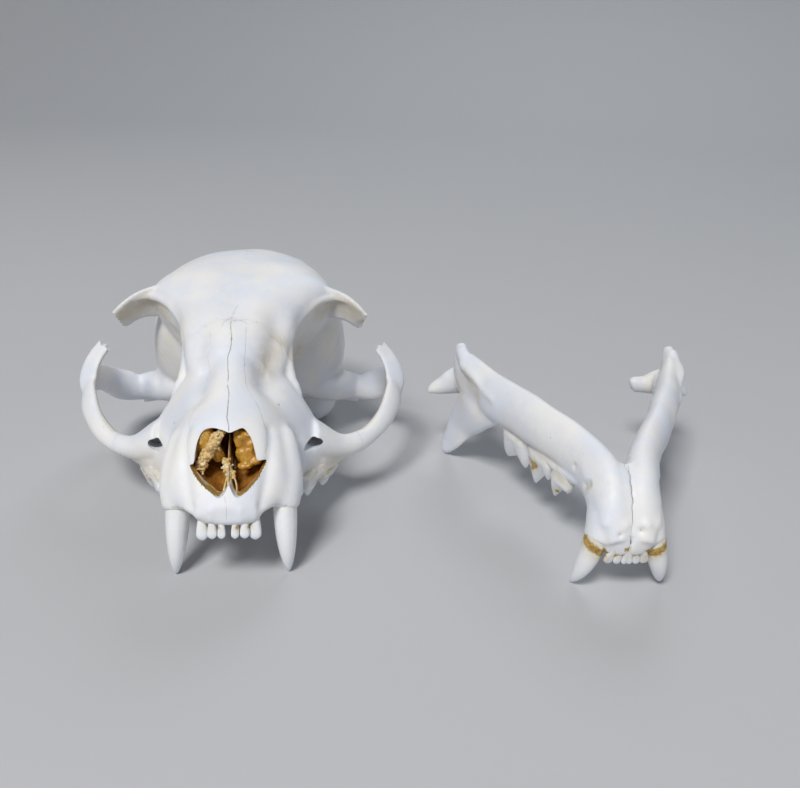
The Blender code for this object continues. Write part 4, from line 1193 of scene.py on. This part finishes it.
def tooth_piece(name, teeth, place, turns, stain):
    """Several teeth as one finished object, each point's height over the gum, stain and haze laid on it."""
    piece = joined(name, [skin for skin, _ in teeth])
    points, _ = points_of(piece)
    rise = np.concatenate([rises for _, rises in teeth])
    haze = [(path, HAZE_WIDTH * radius, HAZE_STRENGTH * strength) for path, radius, strength in stain]
    marks = np.column_stack([rise, marked_amount(points, points, stain), marked_amount(points, points, haze)])
    moved(piece, laid_down(points, place, turns))
    painted(piece, "rise", marks)
    smoothed(piece, 50)
    return piece


def enamel_material():
    """Enamel: milk white and glossy toward the tip, warmer and duller at the neck, ochre where marked."""
    material, tree, surface, place = new_material("tooth_enamel")
    marks = painted_on(tree, "rise")
    streaks = grain(tree, place, 1.6, 4.0)
    edge = reckon(tree, "MULTIPLY_ADD", streaks, 0.35, marks["X"])
    colour = over(tree, (0.76, 0.73, 0.66, 1), (0.85, 0.865, 0.89, 1), spread(tree, edge, 0.02, 0.34))
    colour = over(tree, colour, (0.72, 0.77, 0.86, 1), times(tree, spread(tree, edge, 0.75, 1.2), 0.7))
    warm = times(tree, spread(tree, marks["Z"], 0.0, 0.9), spread(tree, streaks, 0.1, 0.7))
    colour = over(tree, colour, (0.68, 0.60, 0.44, 1), warm)
    crust = grain(tree, place, 0.8, 4.0, 0.65)
    ochre = stain_of(tree, marks["Y"], crust)
    tartar = over(tree, (0.26, 0.14, 0.02, 1), (0.50, 0.34, 0.09, 1), spread(tree, crust, 0.35, 0.62))
    colour = over(tree, colour, tartar, ochre)
    gloss = wire(tree, "MapRange", None, Value=edge, From_Min=0.1, From_Max=0.6, To_Min=0.42, To_Max=0.2)
    fine = reckon(tree, "ADD", streaks, times(tree, grain(tree, place, 0.4), 0.3))
    finish_surface(tree, surface, colour, gloss.outputs["Result"], fine, (0.25, 0.00012),
                   (0.10, (1.0, 0.9, 0.75), 0.0005))
    return material


enamel = enamel_material()


def mirrored_tooth(tooth):
    """The other side's copy of a tooth, which is a skin and each point's height over the gum."""
    return mirrored(tooth[0]), tooth[1]


def finish_teeth(piece):
    """Say what the teeth are made of and what they ride on."""
    piece.data.materials.append(enamel)
    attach(piece, "root")


FRONT_TEETH_PLACE = (CRANIUM_PLACE[0] + 0.33, *CRANIUM_PLACE[1:])
upper_fang = fang((9.9, 9.6, 4.5), (9.45, 7.85, 0.3), (9.7, 5.9, -6.6), (10.1, 7.0, -12.3), 2.65, 2.15)
upper_fangs = [upper_fang, mirrored_tooth(upper_fang)]
finish_teeth(tooth_piece("upper_canines", upper_fangs, FRONT_TEETH_PLACE, CRANIUM_TURNS, []))
upper_front = [
    front_tooth((4.6, 2.8, 0.2), (4.5, 1.5, -3.4), 1.25, 1.04, 0.1),
    front_tooth((2.8, 1.9, 0.1), (2.75, 0.7, -2.8), 1.0, 0.84, 0.1),
    front_tooth((1.15, 1.5, 0.1), (1.15, 0.45, -2.7), 0.9, 0.70, 0.1),
]
upper_front += [mirrored_tooth(tooth) for tooth in upper_front]
finish_teeth(tooth_piece("upper_incisors", upper_front, FRONT_TEETH_PLACE, CRANIUM_TURNS, [
    ([(3.7, 1.0, -0.6)], 0.5, 0.7), ([(1.75, 0.5, -0.5)], 0.5, 0.7), ([(-1.75, 0.5, -0.5)], 0.5, 0.6),
    ([(-3.7, 1.0, -0.6)], 0.5, 0.6),
]))
upper_cheek = [
    cheek_tooth((11.6, 13.2), (12.5, 15.0), 0.3, 1.5, [(0.5, 1.8, 1.2)], -1),
    cheek_tooth((12.7, 16.0), (14.9, 22.2), 0.2, 2.6,
                [(0.45, 2.9, 1.0), (0.82, 1.7, 1.2), (0.1, 1.0, 1.0)], -1),
    cheek_tooth((15.1, 22.2), (19.2, 32.4), 0.3, 3.4,
                [(0.10, 1.7, 1.1), (0.40, 3.9, 1.0), (0.72, 3.3, 0.9), (0.9, 2.8, 1.2)], -1),
    cheek_tooth((16.4, 33.4), (19.2, 34.0), 0.8, 2.0, [(0.3, 1.4, 0.7), (0.8, 1.6, 0.9)], -1),
]
upper_cheek += [mirrored_tooth(tooth) for tooth in upper_cheek]
finish_teeth(tooth_piece("upper_cheek_teeth", upper_cheek, CRANIUM_PLACE, CRANIUM_TURNS, [
    ([(15, 20, 0.2), (19, 31, 0.4)], 1.0, 0.5), ([(-15, 20, 0.2), (-19, 31, 0.4)], 1.0, 0.5),
]))


# ---- nose -------------------------------------------------------------------------------------------
# Inside the nose the bone is paper thin and amber with dried lining: on the animal's left a smooth rolled
# scroll, on its right a crumbled, pale one, and between them the middle wall's splintered edge.

LINING_THICKNESS = 0.22


def nose_bowl():
    """The lining: the nose's rings just inside the bone, run back to a dome and forward again inside it."""
    depths = (0.15, 0.8, 2.0, 4.0, 8.0, 11.0, 13.0, 14.0)
    lifts = (0.0, -0.25, -0.35, -0.1, 1.6, 3.0, 3.8, 4.2)
    outer = nose_rings(depths, (0.99, 1.045, 1.045, 1.035, 1.0, 0.86, 0.6, 0.2), lifts)
    inner_depths = [depth - 0.02 for depth in depths]
    inner = nose_rings(inner_depths, (0.965, 1.005, 1.005, 0.995, 0.95, 0.8, 0.54, 0.15), lifts)
    inner[-2:, :, 1] -= LINING_THICKNESS
    rows = np.concatenate([smooth_rows(outer[::-1].reshape(8, -1), 5), smooth_rows(inner.reshape(8, -1), 5)])
    return closed_skin(rows.reshape(len(rows), -1, 3))


def scroll(path, radius, turns, thickness, start, waver, seed, rows=60, sides=70):
    """A rolled leaf of bone: a spiral, radius shrinking with the turn, carried back along a path.

    Its two faces are the spiral a little out and a little in; the radius wavers with seeded sines.
    """
    places = smooth_rows(path, rows // (len(path) - 1))
    turn = np.linspace(0, turns * 2 * math.pi, sides)[None]
    along = np.linspace(0, 1, len(places))[:, None]
    rng = np.random.default_rng(seed)
    wave = sum(np.sin(turn * rng.uniform(0.5, 3) + along * rng.uniform(4, 14) + rng.uniform(0, 6))
               for _ in range(5))
    swell_in = radius * (0.35 + 0.65 * np.sin(math.pi * np.clip(along * 0.9 + 0.12, 0, 1)) ** 0.5)
    reach = swell_in * (1 - 0.62 * turn / turn.max()) + waver * wave
    layers = []
    for side in (1, -1):
        r = reach + side * thickness / 2
        x = places[:, :1] + r * np.cos(turn + start)
        z = places[:, 2:3] + r * np.sin(turn + start)
        layers.append(np.stack([x, np.broadcast_to(places[:, 1:2], x.shape), z], -1))
    return closed_skin(np.concatenate([layers[0], layers[1][:, ::-1]], axis=1))


CRUMB_SCATTER = 0.38


def crumbs(paths, count, size, seed):
    """Many small flat lumps strewn along paths, to be melted into one crumbled mass."""
    rng = np.random.default_rng(seed)
    out = []
    for _ in range(count):
        path = smooth_rows(paths[rng.integers(len(paths))], 6)
        at = path[rng.integers(len(path))] + rng.normal(0, CRUMB_SCATTER, 3)
        radii = size * rng.uniform(0.35, 1.0, 3) * (1.0, 1.2, 0.8)
        out.append(ball(at, radii, turns=rng.uniform(0, 180, 3), rows=10, sides=14))
    return out


def lining_material(name, dark, amber, pale, gloss, lumps):
    """Dried lining over thin bone: dark to amber clouds, partly glossy, fine wrinkles, and pale painted
    highlight on their tops.
    """
    material, tree, surface, place = new_material(name)
    clouds = grain(tree, place, lumps, 4.0, 0.6)
    fine = grain(tree, place, 0.5, 4.0, 0.6)
    colour = over(tree, dark, amber, spread(tree, clouds, 0.30, 0.52))
    # Painted highlight: the same noise raises the bump, and the pale colour goes on its highest tops.
    crest_highlight = times(tree, spread(tree, clouds, 0.50, 0.72), spread(tree, fine, 0.25, 0.6))
    colour = over(tree, colour, pale, crest_highlight)
    sheen = wire(tree, "MapRange", None, Value=fine, From_Min=0.3, From_Max=0.7, To_Min=gloss,
                 To_Max=gloss + 0.25)
    finish_surface(tree, surface, colour, sheen.outputs["Result"], reckon(tree, "ADD", clouds, fine),
                   (0.5, 0.00025), (0.35, (1.0, 0.5, 0.2), 0.0009))
    return material


def nose_piece(piece, material):
    """A piece inside the nose, laid on the table with the cranium."""
    points, _ = points_of(piece)
    moved(piece, laid_down(points, CRANIUM_PLACE, CRANIUM_TURNS))
    smoothed(piece, 60)
    piece.data.materials.append(material)
    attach(piece, "root")


def rippled(piece, *waves):
    """Raise the skin along its outward ways by a sum of ripples, each of a height, a length and a seed."""
    points, ways = points_of(piece)
    rise = sum(height * ripple(points, length, seed) for height, length, seed in waves)
    moved(piece, points + ways * rise[:, None])


# Each lining's last colour is its painted highlight on the wrinkles' tops.
amber_lining = lining_material(
    "amber_lining", (0.13, 0.045, 0.008, 1), (0.34, 0.14, 0.02, 1), (0.55, 0.30, 0.07, 1), 0.25, 2.4)
amber_scroll = lining_material(
    "amber_scroll", (0.28, 0.115, 0.01, 1), (0.50, 0.26, 0.03, 1), (0.68, 0.44, 0.11, 1), 0.10, 3.0)
pale_crumb = lining_material(
    "pale_crumb", (0.50, 0.28, 0.07, 1), (0.72, 0.53, 0.24, 1), (0.92, 0.87, 0.76, 1), 0.22, 1.1)
nose_piece(joined("nasal_lining", [nose_bowl()]), amber_lining)

# The scrolls are swollen rolls with folds between them: the large one fills the left lobe down to a low
# fold, and two more lie beside and behind the crumbs. A thin leaf curls off the large one's rim.
SCROLL_VOXEL = 0.17
swollen = melted("nasal_scroll", [
    limb([(3.7, 8.1, 11.2, 0.6, 0.6), (3.7, 8.8, 11.3, 2.3, 2.3), (3.7, 10.8, 12.0, 2.9, 2.9),
          (3.5, 14.5, 13.8, 2.7, 2.5)]),
    limb([(1.9, 7.6, 8.0, 0.4, 0.4), (3.2, 7.4, 8.3, 0.8, 0.8), (4.9, 7.6, 9.0, 0.8, 0.8),
          (5.8, 8.6, 9.6, 0.5, 0.5)]),
    ball((3.3, 9.6, 9.6), (2.2, 1.8, 2.4)),
    ball((-4.5, 10.2, 11.9), (2.4, 2.4, 3.3)),
    ball((-2.4, 9.8, 10.0), (1.5, 1.3, 2.2), turns=(0, -30, 0)),
    scroll([(3.4, 8.7, 11.8), (3.5, 11.0, 12.8), (3.4, 14.0, 14.0)], 2.7, 1.2, 0.36, 2.4, 0.05, 4),
], SCROLL_VOXEL, 3)
rippled(swollen, (0.16, 3.2, 14), (0.08, 1.2, 15))
nose_piece(swollen, amber_scroll)
CRUMB_VOXEL = 0.13
crumb_paths = [
    [(-1.2, 8.9, 14.3), (-1.7, 8.6, 13.0), (-2.4, 8.1, 11.6), (-3.4, 7.6, 10.2)],
    [(-2.0, 8.6, 13.6), (-2.8, 8.0, 11.4), (-3.9, 7.5, 9.6), (-5.0, 7.2, 8.6)],
    [(-3.4, 7.6, 10.2), (-4.2, 7.1, 8.9), (-5.0, 6.9, 8.0), (-4.0, 6.6, 7.6)],
    [(-1.6, 8.8, 13.6), (-2.6, 8.3, 12.0), (-3.6, 7.8, 10.6), (-4.6, 7.4, 9.2)],
    [(-0.4, 7.6, 9.0), (-0.2, 7.0, 8.0), (0.2, 6.4, 7.2), (0.4, 6.1, 6.8)],
]
crumb_leaf = limb([(-1.2, 9.2, 14.4, 0.4, 0.4), (-1.8, 8.9, 13.0, 0.8, 0.7), (-2.9, 8.3, 11.3, 1.0, 0.8),
                   (-3.9, 7.8, 9.8, 1.1, 0.8), (-4.8, 7.4, 8.5, 0.8, 0.6), (-5.2, 7.2, 7.9, 0.3, 0.3)])
crumb_core = limb([(-0.3, 7.9, 9.3, 0.3, 0.3), (-0.1, 7.1, 8.2, 0.6, 0.6), (0.3, 6.3, 7.0, 0.6, 0.6),
                   (0.5, 6.0, 6.4, 0.3, 0.3)])
crumb_mass = melted("crumb_mass", [crumb_leaf, crumb_core, *crumbs(crumb_paths, 420, 0.36, 21)],
                    CRUMB_VOXEL, 2)
# The two masses that stand on the bone are kept: a crumb that melted to neither would hang in the air.
held = [(verts, NO_SQUARES, faces) for verts, faces in loose_skins(crumb_mass)[:2]]
crumb_mass = joined("nasal_crumbs", held)
rippled(crumb_mass, (0.07, 0.9, 8), (0.04, 0.45, 9))
nose_piece(crumb_mass, pale_crumb)
middle_wall = limb([(0.25, 4.3, 4.6, 0.9, 0.30), (0.2, 5.4, 6.4, 1.2, 0.26), (0.1, 8.4, 8.6, 1.6, 0.2),
                    (0.0, 12.4, 11.4, 1.9, 0.16)], tall_way=(0, 1, -0.3), sides=24)
splinters = [limb(rows, tall_way=(0, 1, 0), sides=16) for rows in (
    [(0.9, 4.2, 4.4, 0.5, 0.26), (0.7, 4.9, 5.8, 0.5, 0.2), (0.25, 5.8, 7.2, 0.3, 0.1)],
    [(-0.6, 4.3, 4.6, 0.5, 0.24), (-0.3, 5.0, 5.9, 0.5, 0.2), (0.0, 5.9, 7.0, 0.3, 0.1)],
    [(1.7, 4.4, 4.5, 0.4, 0.2), (1.5, 5.2, 5.7, 0.4, 0.16), (1.0, 6.0, 6.8, 0.2, 0.08)])]
nose_piece(joined("nasal_middle_wall", [middle_wall, *splinters]), pale_crumb)


# ---- lower jaw --------------------------------------------------------------------------------------
# Each half is one bone: a tooth-bearing bar, a tall blade and a roller for the hinge. The halves meet at
# the chin along a rough dry seam. The jaw lies upside down on its two canines and its two blades.

JAW_VOXEL = 0.28
JAW_PLACE = (43.0, -43.7, 10.2)
JAW_TURNS = (-7.8, 180.0, 4.7)
jaw_bar = limb([
    (2.6, 0.3, -0.8, 1.5, 2.1),
    (2.9, 2.6, -2.2, 3.0, 2.7),
    (3.5, 6.0, -4.3, 4.6, 3.3),
    (4.0, 10.0, -6.6, 5.2, 3.2),
    (5.2, 14.5, -7.3, 5.2, 3.1),
    (8.1, 20.5, -7.6, 5.1, 2.8),
    (11.4, 26.5, -7.4, 5.1, 2.7),
    (14.8, 33.5, -6.9, 5.0, 2.8),
    (18.1, 40.0, -5.8, 5.1, 2.8),
    (20.6, 46.0, -4.9, 5.3, 2.7),
    (22.6, 51.0, -5.0, 4.9, 2.2),
    (23.7, 55.0, -5.7, 4.0, 1.7),
    (24.0, 57.4, -7.9, 2.0, 1.4),
    (24.0, 58.6, -9.0, 1.3, 1.2),
], tall_way=(0.15, 0, 1))
chin = limb([
    (1.3, 1.4, -1.4, 1.8, 2.4),
    (1.4, 5.5, -5.0, 3.2, 2.6),
    (1.4, 9.0, -7.8, 3.2, 2.4),
    (1.1, 11.6, -9.4, 1.8, 1.5),
])
jaw_blade = limb([
    (19.8, 43.8, -5.0, 7.4, 2.3),
    (21.8, 46.8, 0.6, 5.9, 1.9),
    (23.2, 49.5, 5.0, 4.8, 1.4),
    (24.0, 50.9, 8.4, 4.1, 1.05),
    (25.0, 52.0, 12.0, 3.2, 0.9),
    (26.1, 53.7, 15.6, 2.1, 0.8),
    (26.6, 54.7, 17.2, 1.2, 0.55),
], tall_way=(0.45, 1, 0))
roller = limb([
    (16.8, 58.0, 0.9, 0.9, 0.8),
    (17.5, 58.0, 0.7, 1.9, 1.5),
    (20.0, 58.0, 0.7, 2.2, 1.8),
    (23.4, 57.6, -0.1, 3.4, 1.9),
    (25.2, 57.8, 0.4, 3.3, 1.8),
    (27.2, 58.0, 1.5, 2.4, 1.8),
    (29.7, 58.0, 2.5, 1.4, 1.4),
    (31.0, 57.9, 3.3, 0.45, 0.6),
])
roller_neck = limb([(21.6, 50.0, -1.4, 3.6, 1.8), (23.4, 57.0, -0.8, 2.7, 2.0)])
muscle_edge = limb([
    (18.6, 40.0, -7.0, 1.8, 1.4),
    (20.9, 44.5, -7.4, 1.8, 1.7),
    (22.7, 48.6, -7.5, 1.8, 1.8),
    (23.6, 52.5, -7.8, 1.7, 1.7),
    (24.2, 56.5, -8.6, 1.5, 1.4),
], tall_way=(0.35, 0, 1))
fang_socket = limb([
    (4.4, 9.0, -6.0, 2.6, 2.2),
    (4.8, 6.2, -3.4, 3.0, 2.5),
    (5.1, 4.3, -1.2, 3.1, 2.6),
    (5.4, 3.4, 0.3, 3.1, 2.6),
    (5.5, 3.2, 0.7, 3.0, 2.55),
], tall_way=(0, 1, 0))
chin_lip = limb([(0.4, 1.3, -0.5, 2.5, 1.6), (2.6, 1.6, -0.2, 2.5, 1.7), (4.8, 2.8, -0.6, 2.5, 1.9)])
chin_side = limb([(4.2, 2.6, -2.4, 2.4, 2.0), (3.9, 5.4, -4.8, 2.8, 2.4), (4.0, 8.6, -6.8, 2.4, 2.2)])
tooth_wall = limb([
    (6.3, 12.0, -5.4, 1.0, 1.0),
    (7.3, 15.0, -4.1, 1.4, 1.3),
    (9.2, 20.6, -3.0, 1.5, 1.6),
    (12.2, 28.6, -3.3, 1.5, 1.7),
    (15.4, 36.4, -3.2, 1.5, 1.6),
    (17.6, 40.5, -2.4, 1.2, 1.1),
])
incisor_wall = limb([
    (0.4, 0.8, 0.4, 1.3, 1.1),
    (2.0, 0.9, 0.8, 1.2, 1.05),
    (3.6, 1.3, 0.9, 1.2, 1.0),
    (4.9, 1.9, 0.6, 1.2, 1.0),
])
jaw_core = melted("jaw_core", [jaw_bar, chin, chin_lip, chin_side, jaw_blade, roller, roller_neck,
                               muscle_edge, fang_socket, incisor_wall], JAW_VOXEL, 16)
jaw_base = skin_of(melted("jaw_shape", [skin_of(jaw_core), tooth_wall], JAW_VOXEL, 4))


def beyond_seam(side):
    """What lies past the chin seam: a block whose near face is x = a wavering sheet of y and z."""
    y, z = np.meshgrid(np.linspace(-6, 26, 65), np.linspace(-20, 8, 57), indexing="ij")
    spots = np.stack([0 * y, y, z], -1).reshape(-1, 3)
    near = 0.75 + 0.22 * ripple(spots, 5.0, 31) + 0.09 * ripple(spots, 1.6, 32) + 0.035 * side
    near = np.where((spots[:, 1] > 12.0), near + 0.12 * (spots[:, 1] - 12.0) * side, near).reshape(y.shape)
    front = np.stack([near, y, z], -1)
    far = np.stack([np.full(y.shape, -20.0 * side), y, z], -1)
    return two_faced(front, far)


LEFT_JAW_RELIEF = [
    ([(7.6, 9.8, -6.2), (7.3, 8.9, -7.5)], 0.7, -0.55),
    ([(8.8, 14.2, -7.4)], 0.6, -0.4),
    ([(2.9, 0.1, -3.1)], 0.5, -0.4),
    ([(8.4, 9.4, -8.0), (7.9, 12.0, -8.8)], 1.2, 0.22),
    ([(1.8, 1.2, -4.4)], 0.9, 0.35),
    ([(5.0, 1.8, -3.6), (5.4, 4.6, -6.5)], 1.8, 0.22),
    ([(25.9, 50.6, -8.2), (23.6, 46.5, -8.4), (21.8, 42.4, -7.2), (19.8, 38.2, -7.1)], 0.9, 0.3),
    ([(25.0, 50.5, -4.0), (24.0, 47.0, -3.6), (22.4, 43.6, -3.0)], 2.2, -0.45, (1, 0, 0)),
    ([(9.0, 20, -3.6), (12.0, 27, -3.4), (15.0, 34, -3.0)], 1.3, -0.2, (1, -0.3, 0)),
    ([(12.8, 24.5, -8.5), (16.4, 32.0, -8.2)], 2.4, 0.18),
    ([(20.8, 53.5, 0.0)], 0.7, -1.2, (-1, 0, 0)),
    ([(3.0, 14.0, -7.0), (8.0, 24.0, -6.0), (13.0, 34.0, -5.0)], 2.2, -0.35, (-1, 0.3, 0)),
]
RIGHT_JAW_RELIEF = list(LEFT_JAW_RELIEF)
RIGHT_JAW_RELIEF[2] = ([(0.9, 0.9, -3.4)], 0.6, -0.5)


DRAWN_BY = np.array([1.2, 0, 0])
DRAWN_LENGTH = 35


def drawn_in(points):
    """The right half's front stands nearer to the middle: points + DRAWN_BY * s^2 * (3 - 2 s).

    The share s falls from 1 at the front to 0 at DRAWN_LENGTH.
    """
    share = np.clip(1 - points[:, 1:2] / DRAWN_LENGTH, 0, 1)
    return points + DRAWN_BY * share * share * (3 - 2 * share)


def jaw_skin(side, relief):
    """One half of the jaw, side 1 or -1: the base, raised and sunk by its strokes, and cut along the seam."""
    base = jaw_base
    if side == -1:
        verts, quads, fans = mirrored(jaw_base)
        base = drawn_in(verts), quads, fans
    piece = joined("jaw_half", [base])
    strokes = relief if side == 1 else other_side(relief)
    reshaped(piece, strokes, 0.06, 7.0, 17 + side)
    return loose_skins(carved(piece, [beyond_seam(side)]))[0]


JAW_SEAMS = [
    ([(0.4, 9.4, -11), (0.6, 6.6, -10), (0.6, 5.1, -8.8), (0.4, 4.1, -7.6)], 0.5, 0.08),
]
LEFT_JAW_MARKS = {
    "ochre": [
        ([(0.3, 4.4, -7.6)], 0.5, 0.9),
        ([(0.4, 12.8, -11.0)], 0.8, 0.6),
        ([(8.4, 4.0, 1.0), (6.4, 0.9, 0.6), (4.4, 0.8, 1.6)], 0.7, 0.8),
        ([(1.4, 0.3, 0.2), (0.7, 0.2, 0.0)], 0.6, 0.8),
        ([(14.4, 35.5, -0.6)], 0.7, 0.6),
        ([(2.9, 0.3, -3.1)], 0.6, 0.45),
        # Painted shade: a faint brown in the front nerve hole, beside the painted warm shade there.
        ([(7.5, 9.4, -6.8)], 0.5, 0.3),
    ],
    # Painted warm shade: along the muscle ridge and the hinge roller's neck, in the two small holes on the
    # side, round the roller and along the tooth row.
    "painted_warm_shade": [
        ([(22.0, 50.0, -2.0), (23.5, 54.0, -1.0)], 4.0, 0.5, (1, 0, 0)),
        ([(24.5, 47.8, -6.6), (22.0, 43.0, -5.4)], 1.6, 0.7, (1, 0, 0)),
        ([(7.6, 9.8, -6.2), (7.3, 8.8, -7.5)], 0.6, 0.9),
        ([(8.8, 14.2, -7.4)], 0.6, 0.5),
        ([(23.8, 58.0, 1.6)], 5.0, 0.4),
        ([(9.0, 20, -3.2), (15.0, 34, -2.4)], 1.4, 0.35),
    ],
    # Painted bluish shade: under the tooth row, on the blade and on the chin's side.
    "painted_cool_shade": [
        ([(9, 16, -9), (16, 32, -8)], 3.0, 0.35),
        ([(22, 50, 5), (25, 53, 13)], 4.0, 0.35),
        ([(6, 6, -6)], 2.5, 0.3),
    ],
}
RIGHT_JAW_MARKS = {
    "ochre": [
        ([(-2.3, 0.4, 1.0), (-3.3, 0.2, 0.9), (-5.6, 1.2, 0.8), (-7.6, 3.5, 1.0)], 0.7, 0.8),
        ([(-0.5, 0.6, -0.2)], 0.5, 0.5),
        ([(-0.9, 0.9, -3.4)], 0.5, 0.5),
        ([(0.2, 12.8, -11.0)], 0.6, 0.6),
    ],
    # Painted warm shade: round the hinge roller, on the blade and along the tooth row.
    "painted_warm_shade": [
        ([(-23.8, 58.0, 1.6)], 5.0, 0.6),
        ([(-22.0, 50.0, 2.0), (-25, 53, 12)], 4.0, 0.55, (1, 0, 0)),
        ([(-9.0, 20, -3.2), (-15.0, 34, -2.4)], 1.4, 0.35),
    ],
    # Painted bluish shade under the tooth row.
    "painted_cool_shade": [([(-6, 10, -8), (-12, 26, -8)], 3.0, 0.3)],
}
for name, node, side, relief, marks in (
        ("jaw_half_left", "mandible_left", 1, LEFT_JAW_RELIEF, LEFT_JAW_MARKS),
        ("jaw_half_right", "mandible_right", -1, RIGHT_JAW_RELIEF, RIGHT_JAW_MARKS)):
    bone_piece(name, node, jaw_skin(side, relief), JAW_PLACE, JAW_TURNS, marks, JAW_SEAMS)


# ---- lower teeth ------------------------------------------------------------------------------------
# Each half carries a canine, three tiny front teeth and three bladed cheek teeth, with old ochre tartar
# at the necks.

lower_fang = fang((4.9, 6.6, -4.2), (5.65, 3.55, -0.6), (7.2, 1.3, 5.2), (9.0, 3.3, 10.7), 2.45, 2.05)
lower_front = [
    front_tooth((3.3, 0.9, 1.0), (4.05, 0.8, 4.0), 0.75, 0.84),
    front_tooth((2.0, 0.7, 1.0), (2.45, 0.5, 3.9), 0.7, 0.70),
    front_tooth((0.85, 0.6, 1.0), (1.1, 0.3, 3.8), 0.65, 0.58),
]
lower_cheek = [
    cheek_tooth((7.6, 15.4), (9.6, 21.2), -1.3, 2.8,
                [(0.12, 2.1, 0.9), (0.45, 2.6, 0.9), (0.78, 5.6, 1.5)], 1),
    cheek_tooth((9.6, 21.3), (12.5, 29.8), -1.9, 3.4,
                [(0.17, 4.4, 1.2), (0.62, 8.1, 1.5), (0.92, 5.4, 1.6)], 1),
    cheek_tooth((12.2, 29.4), (15.9, 37.6), -1.5, 4.6, [(0.16, 7.0, 0.75), (0.88, 8.0, 0.75)], 1),
]
for name, flip in (("lower_teeth_left", 1), ("lower_teeth_right", -1)):
    teeth = [lower_fang, *lower_front, *lower_cheek]
    stain = [([(8.0, 4.8, -0.4), (7.7, 3.0, 0.2), (6.5, 1.2, 0.9), (4.8, 1.0, 1.9)], 0.9, 1.0),
             ([(12.6, 26.5, 2.0), (12.0, 24.5, 0.0), (12.4, 27.6, 0.4)], 0.5, 1.0),
             ([(9.2, 18.6, 1.6)], 0.6, 0.9), ([(3.0, 0.5, 1.6), (1.8, 0.3, 1.6)], 0.5, 0.7)]
    if flip == -1:
        teeth = [((drawn_in(skin[0]), *skin[1:]), rise) for skin, rise in map(mirrored_tooth, teeth)]
        stain = [(drawn_in(np.asarray(path)), *rest) for path, *rest in other_side(stain)]
    finish_teeth(tooth_piece(name, teeth, JAW_PLACE, JAW_TURNS, stain))
